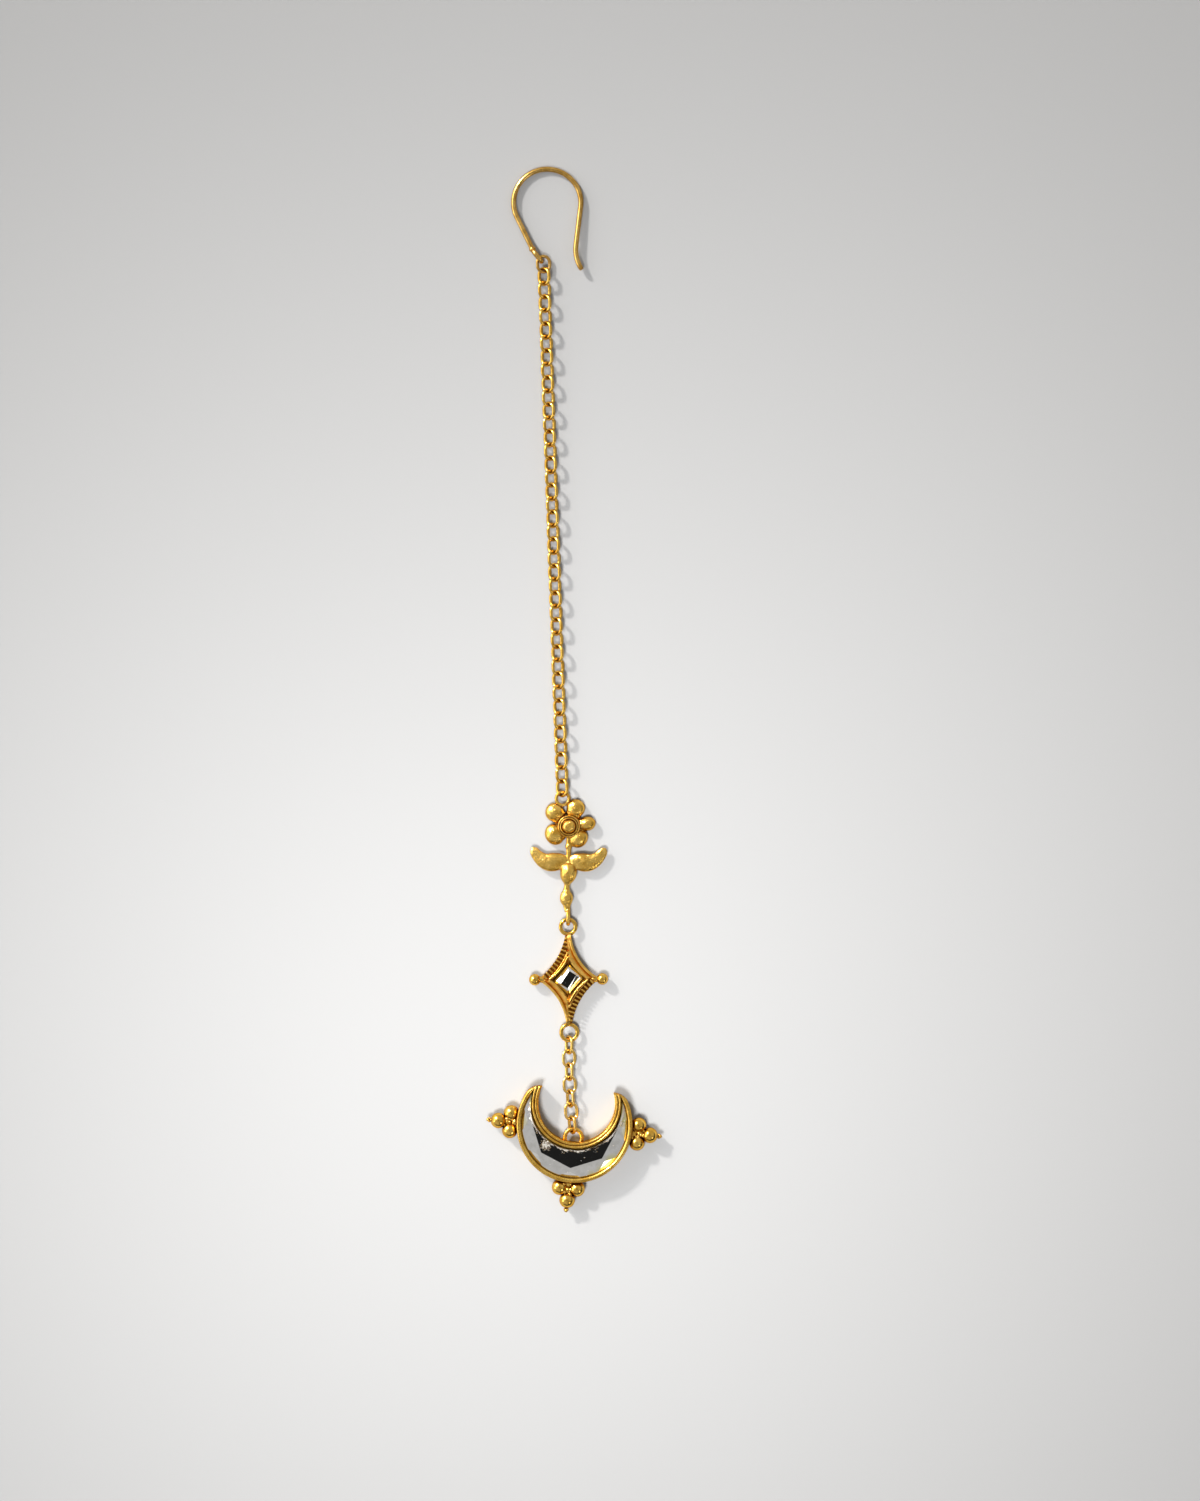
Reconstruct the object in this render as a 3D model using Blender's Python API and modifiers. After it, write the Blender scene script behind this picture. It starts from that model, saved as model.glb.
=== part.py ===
"""A maang tikka: a forehead ornament of gold-plated metal and foil-backed glass, lying on a table.

Metres, +Z up. The crescent's flat back is at the origin, and the chain runs from it along +Y to
the hook that is pinned in the hair. Each piece is placed from the one below it, so a size that
changes carries the rest of the ornament with it. A lean is the angle by which a piece points to
the left of +Y, and a roll is the angle by which its right side is lifted, both in degrees.
"""

import math

import bmesh
import bpy
from mathutils import Matrix, Vector

# The setting of the crescent
CRESCENT_LEAN = -5.6
CRESCENT_RADIUS = 0.00839
CRESCENT_HOLLOW_RADIUS = 0.00563
CRESCENT_HOLLOW_OFFSET = 0.00308
CRESCENT_HEIGHT = 0.0030
CRESCENT_FLOOR = 0.0009
CRESCENT_SOFT_EDGE = 0.00018
HORN_SHOULDER_RADIUS = 0.0023
HORN_SHOULDER_ANGLE = 27.5
OUTER_RIM = 0.00065
INNER_RIM = 0.00085
INNER_RAIL_WIRE = 0.00040
INNER_RAIL_PROUD = 0.00010
CRESCENT_LOOP_DIAMETER = 0.00305
CRESCENT_LOOP_WIRE = 0.00058
CRESCENT_LOOP_SINK = 0.00092

# The three clusters of beads soldered to the crescent
CLUSTER_BEAD = 0.00225
CLUSTER_SPREAD = 0.00254
CLUSTER_STAND_OFF = 0.00086
CLUSTER_BITE = 0.00008
SIDE_CLUSTER_DROP = 0.00050
TIP_GRAIN = 0.00056
TIP_NECK = 0.00040
TIP_NECK_LENGTH = 0.00010

# The glass of the crescent
GLASS_GAP = 0.00007
CRESCENT_TABLE_RADIUS = 0.00626
CRESCENT_TABLE_HEIGHT = 0.00272
CRESCENT_GIRDLE_HEIGHT = 0.00195
CRESCENT_INNER_BEVEL = 0.00045

# The short chain
SHORT_CHAIN_FIRST_LEAN = 5.0
SHORT_CHAIN_LAST_LEAN = -0.6
SHORT_CHAIN_LINKS = 7
SHORT_LINK_LENGTH = 0.002757
SHORT_LINK_WIDTH = 0.00210
SHORT_LINK_WIRE = 0.00038
SHORT_LINK_STEEP_ROLL = 62.0
SHORT_LINK_FLAT_ROLL = -20.0
LINK_CLEARANCE = 0.00007

# The star setting
STAR_LEAN = 0.65
STAR_HALF_HEIGHT = 0.00645
STAR_HALF_WIDTH = 0.00400
STAR_MILLED_SAGITTA = 0.00064
STAR_PLAIN_SAGITTA = 0.00080
STAR_END_TIP = 0.00080
STAR_SIDE_TIP = 0.00070
STAR_EDGE_HEIGHT = 0.00150
STAR_CREST_HEIGHT = 0.00215
STAR_FLOOR_HEIGHT = 0.00105
STAR_CREST_HALF_HEIGHT = 0.00335
STAR_CREST_HALF_WIDTH = 0.00285
STAR_CREST_SAGITTA = 0.00030
STAR_CREST_LAND = 0.00022
STAR_CREST_TIP = 0.00012
STAR_TOP_RING = 0.00270
STAR_BOTTOM_RING = 0.00290
STAR_RING_WIRE = 0.00056
SOLDER_BITE = 0.00020
BULB_DIAMETER = 0.00167
BULB_REACH = 0.00489
BULB_NECK = 0.00075
BULB_HEIGHT = 0.00110
MILLED_RIDGES = 11
MILLED_RIDGE_WIRE = 0.00050
MILLED_STRIP_WIDTH = 0.00072
MILLED_STRIP_INSET = 0.00034
MILLED_STRIP_HEIGHT = 0.00172
MILLED_END_MARGIN = 0.00070

# The step-cut glass of the star
STAR_STONE_LENGTH = 0.00333
STAR_STONE_WIDTH = 0.00283
STAR_STONE_CORNER = 0.00030
STAR_STONE_TURN = 48.0
STAR_TABLE_LENGTH = 0.00198
STAR_TABLE_WIDTH = 0.00111
STAR_TABLE_CORNER = 0.00008
STAR_TABLE_TURN = 56.0
STAR_STONE_BACK_SHARE = 0.78
STAR_STONE_GIRDLE = 0.00045
STAR_STONE_STEP_RISE = 0.00030
STAR_STONE_TABLE_RISE = 0.00018

# The cast flower charm, measured from its lower eye
CHARM_LEAN = -0.5
CHARM_EYE_LENGTH = 0.00240
CHARM_EYE_WIDTH = 0.00188
CHARM_EYE_WIRE = 0.00060
CHARM_STEM_WIRE = 0.00062
CHARM_STEM_FLATNESS = 0.80
CHARM_STEM_TOP = 0.01180
CHARM_STEM_SWAY = 0.00028
CHARM_BEAD_PLACE = 0.00275
CHARM_BEAD_DIAMETER = 0.00174
CHARM_BEAD_LENGTH = 0.00290
CHARM_LEAF_PLACE = 0.00650
CHARM_LEAF_LENGTH = 0.00340
CHARM_LEAF_WIDTH = 0.00225
CHARM_WING_ROOT = 0.00850
CHARM_WING_SPAN = 0.00540
CHARM_WING_WIDTH = 0.00265
CHARM_WING_THICKNESS = 0.00125
CHARM_KNOT_PLACE = 0.01030
CHARM_KNOT_DIAMETER = 0.00085
FLOWER_PLACE = 0.01322
FLOWER_RADIUS = 0.00292
FLOWER_PETAL = 0.00290
FLOWER_PETAL_HEIGHT = 0.00165
FLOWER_PETAL_BASE = 0.00035
FLOWER_BOSS_RADIUS = 0.00167
FLOWER_BOSS_SHOULDER = 0.00150
FLOWER_BOSS_RING_RADIUS = 0.00112
FLOWER_BOSS_HEIGHT = 0.00240
CHARM_RING = 0.00239
CHARM_RING_WIRE = 0.00049
CHARM_RING_SIDE = -0.00095
CHARM_RING_RISE = 0.00402
CHARM_RING_ROLL = -15.0

# The long chain
LONG_CHAIN_LEAN = 2.04
LONG_CHAIN_LINKS = 39
LONG_LINK_LENGTH = 0.00275
LONG_LINK_WIDTH = 0.00232
LONG_LINK_WIRE = 0.00043
LONG_LINK_ROLL = 45.0
LINK_BITE = 0.00006

# The ring and the hook at the top
HOOK_RING_LENGTH = 0.00275
HOOK_RING_WIDTH = 0.00230
HOOK_RING_WIRE = 0.00045
HOOK_RING_ROLL = -18.0
HOOK_PULL_ANGLE = 135.0
HOOK_WIRE = 0.00074
HOOK_EYE_LENGTH = 0.00262
HOOK_EYE_HEIGHT = 0.00205
HOOK_EYE_WIRE = 0.00066
HOOK_EYE_LEAN = 37.5
HOOK_COLLAR = 0.00098
HOOK_COLLAR_LENGTH = 0.00055
HOOK_LEG_LEAN = 25.8
HOOK_LEG_LENGTH = 0.00543
HOOK_LOOP_RADIUS = 0.00487
HOOK_FREE_LEG_LEAN = 6.8
HOOK_FREE_LEG_LENGTH = 0.00560
HOOK_FLARE_RADIUS = 0.00540
HOOK_FLARE_TURN = 40.0

# How finely the solids are cut
LINK_END_STEPS = 4
RING_STEPS = 16
BALL_SEGMENTS = 12
BALL_RINGS = 8
WELD = 0.000001

ornament = bpy.data.collections.new("maang_tikka")
helpers = bpy.data.collections.new("helpers")


def clear_scene():
    for obj in list(bpy.data.objects):
        bpy.data.objects.remove(obj, do_unlink=True)
    for collection in (ornament, helpers):
        bpy.context.scene.collection.children.link(collection)


def principled(name, color, roughness, metallic, transmission=0.0):
    material = bpy.data.materials.new(name)
    material.use_nodes = True
    shader = material.node_tree.nodes["Principled BSDF"]
    shader.inputs["Base Color"].default_value = (*color, 1.0)
    shader.inputs["Roughness"].default_value = roughness
    shader.inputs["Metallic"].default_value = metallic
    shader.inputs["Transmission Weight"].default_value = transmission
    return material


def gold(name, roughness):
    return principled(name, (0.83, 0.56, 0.17), roughness, 1.0)


def frame_at(name, point, lean):
    """An empty at the point, whose +Y leans to the left by the angle."""
    frame = bpy.data.objects.new(name, None)
    frame.location = point
    frame.rotation_euler.z = math.radians(lean)
    ornament.objects.link(frame)
    return frame


def put(obj, frame, place=(0, 0, 0)):
    """Hang the object on a frame, as a helper that is not rendered."""
    obj.parent = frame
    obj.location = place
    obj.hide_render = True
    obj.display_type = "WIRE"
    helpers.objects.link(obj)
    return obj


def finish(obj, frame, material, smooth_angle=40.0):
    """Hang the object on a frame, as one of the ornament's own pieces."""
    obj.parent = frame
    obj.data.materials.clear()
    obj.data.materials.append(material)
    obj.data.shade_smooth()
    obj.data.set_sharp_from_angle(angle=math.radians(smooth_angle))
    ornament.objects.link(obj)
    return obj


def from_bmesh(name, bm):
    mesh = bpy.data.meshes.new(name)
    bm.to_mesh(mesh)
    bm.free()
    return bpy.data.objects.new(name, mesh)


def welded_mesh(drawn):
    """A mesh object in place of the curve object, with its caps welded on."""
    bpy.context.scene.collection.objects.link(drawn)
    graph = bpy.context.evaluated_depsgraph_get()
    mesh = bpy.data.meshes.new_from_object(drawn.evaluated_get(graph))
    name = drawn.name
    bpy.data.objects.remove(drawn, do_unlink=True)
    bm = bmesh.new()
    bm.from_mesh(mesh)
    bpy.data.meshes.remove(mesh)
    bmesh.ops.remove_doubles(bm, verts=bm.verts, dist=WELD)
    bmesh.ops.recalc_face_normals(bm, faces=bm.faces)
    return from_bmesh(name, bm)


def curve_object(name, points, closed, radii=None):
    curve = bpy.data.curves.new(name, "CURVE")
    curve.dimensions = "3D"
    spline = curve.splines.new("POLY")
    spline.points.add(len(points) - 1)
    for number, (knot, point) in enumerate(zip(spline.points, points)):
        knot.co = (*Vector(point).to_3d(), 1.0)
        knot.radius = radii[number] if radii else 1.0
    spline.use_cyclic_u = closed
    return bpy.data.objects.new(name, curve)


def wire(name, points, diameter, closed=False, radii=None, fine=1):
    """A round wire along the points; radii are shares of its own radius, one for each point."""
    obj = curve_object(name, points, closed, radii)
    obj.data.bevel_depth = diameter / 2
    obj.data.bevel_resolution = fine
    obj.data.use_fill_caps = not closed
    return welded_mesh(obj)


def slab(name, outline, bottom, top):
    """A flat plate with this outline, between two heights."""
    obj = curve_object(name, outline, closed=True)
    obj.data.dimensions = "2D"
    obj.data.fill_mode = "BOTH"
    obj.data.extrude = (top - bottom) / 2
    plate = welded_mesh(obj)
    plate.data.transform(Matrix.Translation((0, 0, (top + bottom) / 2)))
    return plate


def loft(name, sections):
    """A solid through closed sections of as many points each, with a flat cap at both ends."""
    bm = bmesh.new()
    rings = [[bm.verts.new(point) for point in section] for section in sections]
    for lower, upper in zip(rings, rings[1:]):
        for i in range(len(lower)):
            j = (i + 1) % len(lower)
            bm.faces.new((lower[i], lower[j], upper[j], upper[i]))
    bm.faces.new(reversed(rings[0]))
    bm.faces.new(rings[-1])
    bmesh.ops.recalc_face_normals(bm, faces=bm.faces)
    return from_bmesh(name, bm)


def ball(name, centers, size, lift=0.0):
    """Round or oval balls of one size (x, y and z), in one object."""
    bm = bmesh.new()
    for center in centers:
        turned = Matrix.Translation((center[0], center[1], lift)) @ Matrix.Diagonal((*size, 1.0))
        bmesh.ops.create_uvsphere(
            bm, u_segments=BALL_SEGMENTS, v_segments=BALL_RINGS, radius=0.5, matrix=turned
        )
    return from_bmesh(name, bm)


def fuse(target, *others):
    for other in others:
        union = target.modifiers.new("joined to " + other.name, "BOOLEAN")
        union.operation = "UNION"
        union.object = other


def carve(target, *cutters):
    for cutter in cutters:
        cut = target.modifiers.new("cut by " + cutter.name, "BOOLEAN")
        cut.operation = "DIFFERENCE"
        cut.object = cutter


def polar(center, radius, degrees):
    angle = math.radians(degrees)
    return Vector((center[0] + radius * math.cos(angle), center[1] + radius * math.sin(angle)))


def arc(center, radius, start, end, step=12.0):
    """Points along an arc from one angle to another, both included."""
    count = max(2, math.ceil(abs(end - start) / step))
    return [polar(center, radius, start + (end - start) * i / count) for i in range(count + 1)]


def heading(lean):
    """The flat direction that leans to the left of +Y."""
    return Vector((-math.sin(math.radians(lean)), math.cos(math.radians(lean)), 0.0))


def ring_points(diameter, thickness):
    """The middle line of a round ring, begun half a step off its axes."""
    step = 360 / RING_STEPS
    return arc((0, 0), (diameter - thickness) / 2, step / 2, 360 + step / 2, step)[:-1]


def oval_points(length, width, thickness):
    """The middle line of an oval link that is long in Y."""
    radius = (width - thickness) / 2
    reach = (length - width) / 2
    step = 180 / LINK_END_STEPS
    return arc((0, reach), radius, 0, 180, step) + arc((0, -reach), radius, 180, 360, step)


def rolled(obj, roll):
    obj.data.transform(Matrix.Rotation(-math.radians(roll), 4, "Y"))
    return obj


def lying_height(width, thickness, roll):
    """How high a rolled link's middle is when its lower side rests on the table."""
    return (width - thickness) / 2 * abs(math.sin(math.radians(roll))) + thickness / 2


HANG_HEIGHT = lying_height(SHORT_LINK_WIDTH, SHORT_LINK_WIRE, SHORT_LINK_STEEP_ROLL)
LONG_CHAIN_HEIGHT = lying_height(LONG_LINK_WIDTH, LONG_LINK_WIRE, LONG_LINK_ROLL)


# The crescent: a tray with a loop in its hollow and three clusters of beads on its back edge
CRESCENT_BELLY = CRESCENT_RADIUS - CRESCENT_HOLLOW_RADIUS + CRESCENT_HOLLOW_OFFSET
OUTER_CENTER = Vector((0.0, CRESCENT_RADIUS - CRESCENT_BELLY / 2))
HOLLOW_CENTER = OUTER_CENTER + Vector((0.0, CRESCENT_HOLLOW_OFFSET))


def crossing(center_a, radius_a, center_b, radius_b):
    """The upper right point where two circles cross."""
    apart = center_b - center_a
    distance = apart.length
    along = (radius_a**2 - radius_b**2 + distance**2) / (2 * distance)
    across = math.sqrt(radius_a**2 - along**2)
    middle = center_a + apart * (along / distance)
    side = Vector((-apart.y, apart.x)) * (across / distance)
    return max(middle + side, middle - side, key=lambda point: (point.x + point.y))


def angle_at(center, point):
    return math.degrees(math.atan2(point[1] - center[1], point[0] - center[0]))


def mirrored(right_half):
    """A closed outline from the half that runs from the bottom up to the top and down again."""
    left_half = [Vector((-point.x, point.y)) for point in reversed(right_half[1:-1])]
    return right_half + left_half


def crescent_outline():
    shoulder = polar(OUTER_CENTER, CRESCENT_RADIUS - HORN_SHOULDER_RADIUS, HORN_SHOULDER_ANGLE)
    tip = crossing(HOLLOW_CENTER, CRESCENT_HOLLOW_RADIUS, shoulder, HORN_SHOULDER_RADIUS)
    outside = arc(OUTER_CENTER, CRESCENT_RADIUS, -90, HORN_SHOULDER_ANGLE, 10)
    horn = arc(
        shoulder, HORN_SHOULDER_RADIUS, HORN_SHOULDER_ANGLE, angle_at(shoulder, tip), 18
    )
    inside = arc(
        HOLLOW_CENTER, CRESCENT_HOLLOW_RADIUS, angle_at(HOLLOW_CENTER, tip), -90, 12
    )
    return mirrored(outside + horn[1:-1] + inside)


def lens_outline(outer_radius, inner_radius):
    """The space between two circles of the crescent, which meet in sharp horns."""
    tip = crossing(HOLLOW_CENTER, inner_radius, OUTER_CENTER, outer_radius)
    outside = arc(OUTER_CENTER, outer_radius, -90, angle_at(OUTER_CENTER, tip), 10)
    inside = arc(HOLLOW_CENTER, inner_radius, angle_at(HOLLOW_CENTER, tip), -90, 12)
    return mirrored(outside + inside[1:])


def add_crescent(frame):
    setting = slab("crescent_setting", crescent_outline(), 0.0, CRESCENT_HEIGHT)
    softened = setting.modifiers.new("soft edges", "BEVEL")
    softened.width = CRESCENT_SOFT_EDGE
    softened.segments = 2
    softened.limit_method = "ANGLE"
    softened.angle_limit = math.radians(50)

    rail_radius = CRESCENT_HOLLOW_RADIUS + INNER_RIM - INNER_RAIL_WIRE / 2
    rail_line = arc(HOLLOW_CENTER, rail_radius, 5, -185, 10)
    rail = put(wire("inner_rail", rail_line, INNER_RAIL_WIRE), frame)
    rail.location.z = CRESCENT_HEIGHT + INNER_RAIL_PROUD - INNER_RAIL_WIRE / 2

    loop_line = ring_points(CRESCENT_LOOP_DIAMETER, CRESCENT_LOOP_WIRE)
    loop = wire("crescent_loop", loop_line, CRESCENT_LOOP_WIRE, closed=True)
    put(loop, frame, (0.0, crescent_loop_place(), HANG_HEIGHT))

    recess_outline = lens_outline(CRESCENT_RADIUS - OUTER_RIM, CRESCENT_HOLLOW_RADIUS + INNER_RIM)
    recess = slab("crescent_recess", recess_outline, CRESCENT_FLOOR, 2 * CRESCENT_HEIGHT)

    fuse(setting, rail, loop, *bead_clusters(frame))
    carve(setting, put(recess, frame))
    finish(setting, frame, gold("crescent_gold", 0.22))


def crescent_loop_place():
    inner_edge = HOLLOW_CENTER.y - CRESCENT_HOLLOW_RADIUS
    return inner_edge + CRESCENT_LOOP_DIAMETER / 2 - CRESCENT_LOOP_SINK


def bead_clusters(frame):
    """Three beads and a tip grain at the bottom and at each side, in four helper objects."""
    half_spread = CLUSTER_SPREAD / 2
    touching = CLUSTER_BEAD - CLUSTER_BITE
    outer_bead = CLUSTER_STAND_OFF + math.sqrt(touching**2 - half_spread**2)
    neck_end = outer_bead + CLUSTER_BEAD / 2 + TIP_NECK_LENGTH
    side_root = OUTER_CENTER - Vector((0.0, SIDE_CLUSTER_DROP))
    inner, outer, grains, necks = [], [], [], []
    for root, degrees in ((OUTER_CENTER, -90), (side_root, 0), (side_root, 180)):
        out = polar((0, 0), 1.0, degrees)
        across = Vector((-out.y, out.x))
        rim = root + out * CRESCENT_RADIUS
        inner += [rim + out * CLUSTER_STAND_OFF + across * side for side in (-half_spread, half_spread)]
        outer.append(rim + out * outer_bead)
        grains.append(rim + out * (neck_end + TIP_GRAIN / 2))
        necks.append((outer[-1], grains[-1]))
    middle = CRESCENT_HEIGHT / 2
    beads = (CLUSTER_BEAD,) * 3
    parts = [
        ball("inner_beads", inner, beads, middle),
        ball("outer_beads", outer, beads, middle),
        ball("tip_grains", grains, (TIP_GRAIN,) * 3, middle),
    ]
    for number, (start, end) in enumerate(necks):
        neck = wire("tip_neck_%d" % number, (start, end), TIP_NECK)
        neck.data.transform(Matrix.Translation((0, 0, middle)))
        parts.append(neck)
    return [put(part, frame) for part in parts]


def add_crescent_stone(frame):
    """Glass with an eight-sided crown, cut down to the tray's crescent."""
    outer_radius = CRESCENT_RADIUS - OUTER_RIM - GLASS_GAP
    inner_radius = CRESCENT_HOLLOW_RADIUS + INNER_RIM + GLASS_GAP
    bottom = CRESCENT_FLOOR + GLASS_GAP
    stone = slab(
        "crescent_stone", lens_outline(outer_radius, inner_radius), bottom, CRESCENT_TABLE_HEIGHT
    )

    crown_drop = CRESCENT_TABLE_HEIGHT - CRESCENT_GIRDLE_HEIGHT
    girdle_corner = outer_radius / math.cos(math.radians(22.5))
    slope = (girdle_corner - CRESCENT_TABLE_RADIUS) / crown_drop
    skirt = CRESCENT_GIRDLE_HEIGHT - bottom + CRESCENT_HEIGHT
    crown = bmesh.new()
    placed = Matrix.Translation(
        (*OUTER_CENTER, CRESCENT_GIRDLE_HEIGHT + (crown_drop - skirt) / 2)
    )
    bmesh.ops.create_cone(
        crown,
        cap_ends=True,
        segments=8,
        radius1=girdle_corner + slope * skirt,
        radius2=CRESCENT_TABLE_RADIUS,
        depth=crown_drop + skirt,
        matrix=placed,
    )
    crown = put(from_bmesh("crown_facets", crown), frame)
    keep = stone.modifiers.new("crown facets", "BOOLEAN")
    keep.operation = "INTERSECT"
    keep.object = crown

    hollow = bmesh.new()
    bmesh.ops.create_cone(
        hollow,
        cap_ends=True,
        segments=20,
        radius1=inner_radius - CRESCENT_INNER_BEVEL,
        radius2=inner_radius + 2 * CRESCENT_INNER_BEVEL,
        depth=3 * crown_drop,
        matrix=Matrix.Translation((*HOLLOW_CENTER, CRESCENT_GIRDLE_HEIGHT + crown_drop / 2)),
    )
    carve(stone, put(from_bmesh("inner_bevel", hollow), frame))
    glass = principled("crescent_glass", (0.62, 0.62, 0.64), 0.03, 0.0, 0.2)
    finish(stone, frame, glass, 10.0)


# The short chain between the crescent and the star
def add_short_chain(start, reach):
    """Loose links from the loop at start, whose inner reach is given; where the next ring begins."""
    inner_half = SHORT_LINK_LENGTH / 2 - SHORT_LINK_WIRE
    line = oval_points(SHORT_LINK_LENGTH, SHORT_LINK_WIDTH, SHORT_LINK_WIRE)
    material = gold("short_chain_gold", 0.18)
    place = start + heading(SHORT_CHAIN_FIRST_LEAN) * (reach - LINK_CLEARANCE)
    for number in range(1, SHORT_CHAIN_LINKS + 1):
        share = (number - 1) / max(1, SHORT_CHAIN_LINKS - 1)
        lean = SHORT_CHAIN_FIRST_LEAN + (SHORT_CHAIN_LAST_LEAN - SHORT_CHAIN_FIRST_LEAN) * share
        middle = place + heading(lean) * inner_half
        frame = frame_at("short_link_frame_%d" % number, middle, lean)
        link = wire("short_chain_link_%d" % number, line, SHORT_LINK_WIRE, closed=True)
        roll = SHORT_LINK_STEEP_ROLL if number % 2 else SHORT_LINK_FLAT_ROLL
        finish(rolled(link, roll), frame, material)
        place = middle + heading(lean) * (inner_half - LINK_CLEARANCE)
    return place


# The star setting: a frame of four hollow sides with a ring at both ends and a bulb at each side
STAR_CENTER_RISE = STAR_HALF_HEIGHT + STAR_BOTTOM_RING / 2 - SOLDER_BITE
STAR_TOP_RING_RISE = STAR_HALF_HEIGHT + STAR_TOP_RING / 2 - SOLDER_BITE


def hollow_side(start, end, sagitta, steps=6):
    """Points from one apex to the next along a side that bows in by the sagitta."""
    chord = end - start
    inward = Vector((-chord.y, chord.x)).normalized()
    points = []
    for i in range(steps):
        share = i / steps
        points.append(start + chord * share + inward * (4 * sagitta * share * (1 - share)))
    return points


def star_outline(half_width, half_height, plain, milled, side_tip, end_tip, height):
    """Four hollow sides, each with its sagitta, between blunt tips, counter-clockwise."""
    side, end = side_tip / 2, end_tip / 2
    upper_right = (Vector((half_width, side)), Vector((end, half_height)))
    upper_left = (Vector((-end, half_height)), Vector((-half_width, side)))
    lower_left = (-upper_right[0], -upper_right[1])
    lower_right = (-upper_left[0], -upper_left[1])
    points = []
    for (start, stop), sagitta in (
        (upper_right, plain),
        (upper_left, milled),
        (lower_left, plain),
        (lower_right, milled),
    ):
        points += hollow_side(start, stop, sagitta) + [stop]
    return [(point.x, point.y, height) for point in points]


def milled_strip(name, start, end):
    """A row of short bars across one hollow side, from one tip to the next."""
    chord = end - start
    inward = Vector((-chord.y, chord.x)).normalized()
    margin = MILLED_END_MARGIN / chord.length
    ridges = bmesh.new()
    for i in range(MILLED_RIDGES):
        share = margin + (1 - 2 * margin) * i / (MILLED_RIDGES - 1)
        bow = 4 * STAR_MILLED_SAGITTA * share * (1 - share)
        slope = 4 * STAR_MILLED_SAGITTA * (1 - 2 * share)
        along = (chord + inward * slope).normalized()
        across = Vector((-along.y, along.x))
        middle = start + chord * share + inward * bow + across * MILLED_STRIP_INSET
        placed = (
            Matrix.Translation((middle.x, middle.y, MILLED_STRIP_HEIGHT))
            @ Matrix.Rotation(math.atan2(across.y, across.x), 4, "Z")
            @ Matrix.Rotation(math.pi / 2, 4, "Y")
        )
        bmesh.ops.create_cone(
            ridges,
            cap_ends=True,
            segments=6,
            radius1=MILLED_RIDGE_WIRE / 2,
            radius2=MILLED_RIDGE_WIRE / 2,
            depth=MILLED_STRIP_WIDTH,
            matrix=placed,
        )
    return from_bmesh(name, ridges)


def add_star(frame):
    crest_inner_width = STAR_CREST_HALF_WIDTH - STAR_CREST_LAND
    crest_inner_height = STAR_CREST_HALF_HEIGHT - STAR_CREST_LAND
    sides = (STAR_PLAIN_SAGITTA, STAR_MILLED_SAGITTA)
    inner = (STAR_CREST_SAGITTA, STAR_CREST_SAGITTA, STAR_CREST_TIP, STAR_CREST_TIP)
    outer = (STAR_HALF_WIDTH, STAR_HALF_HEIGHT, *sides, STAR_SIDE_TIP, STAR_END_TIP)
    crest = (STAR_CREST_HALF_WIDTH, STAR_CREST_HALF_HEIGHT, *inner)
    recess = (crest_inner_width, crest_inner_height, *inner)
    setting = loft(
        "star_setting",
        (
            star_outline(*outer, 0.0),
            star_outline(*outer, STAR_EDGE_HEIGHT),
            star_outline(*crest, STAR_CREST_HEIGHT),
            star_outline(*recess, STAR_CREST_HEIGHT),
            star_outline(*recess, STAR_FLOOR_HEIGHT),
        ),
    )
    rings = []
    for name, diameter, rise in (
        ("star_bottom_ring", STAR_BOTTOM_RING, -STAR_CENTER_RISE),
        ("star_top_ring", STAR_TOP_RING, STAR_TOP_RING_RISE),
    ):
        ring = wire(name, ring_points(diameter, STAR_RING_WIRE), STAR_RING_WIRE, closed=True)
        rings.append(put(ring, frame, (0.0, rise, HANG_HEIGHT)))

    bulb_sides = (-BULB_REACH, BULB_REACH)
    bulb_centers = [Vector((side, 0.0)) for side in bulb_sides]
    bulbs = put(ball("side_bulbs", bulb_centers, (BULB_DIAMETER,) * 3, BULB_HEIGHT), frame)
    necks = []
    for side in bulb_sides:
        root = math.copysign(STAR_HALF_WIDTH - BULB_DIAMETER, side)
        neck = wire("bulb_neck", ((root, 0, 0), (side, 0, 0)), BULB_NECK)
        necks.append(put(neck, frame, (0, 0, BULB_HEIGHT)))

    top = Vector((-STAR_END_TIP / 2, STAR_HALF_HEIGHT))
    left = Vector((-STAR_HALF_WIDTH, STAR_SIDE_TIP / 2))
    strips = [
        put(milled_strip("milled_upper_left", top, left), frame),
        put(milled_strip("milled_lower_right", -top, -left), frame),
    ]
    fuse(setting, *rings, *necks, bulbs, *strips)
    finish(setting, frame, gold("star_gold", 0.25))


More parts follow.
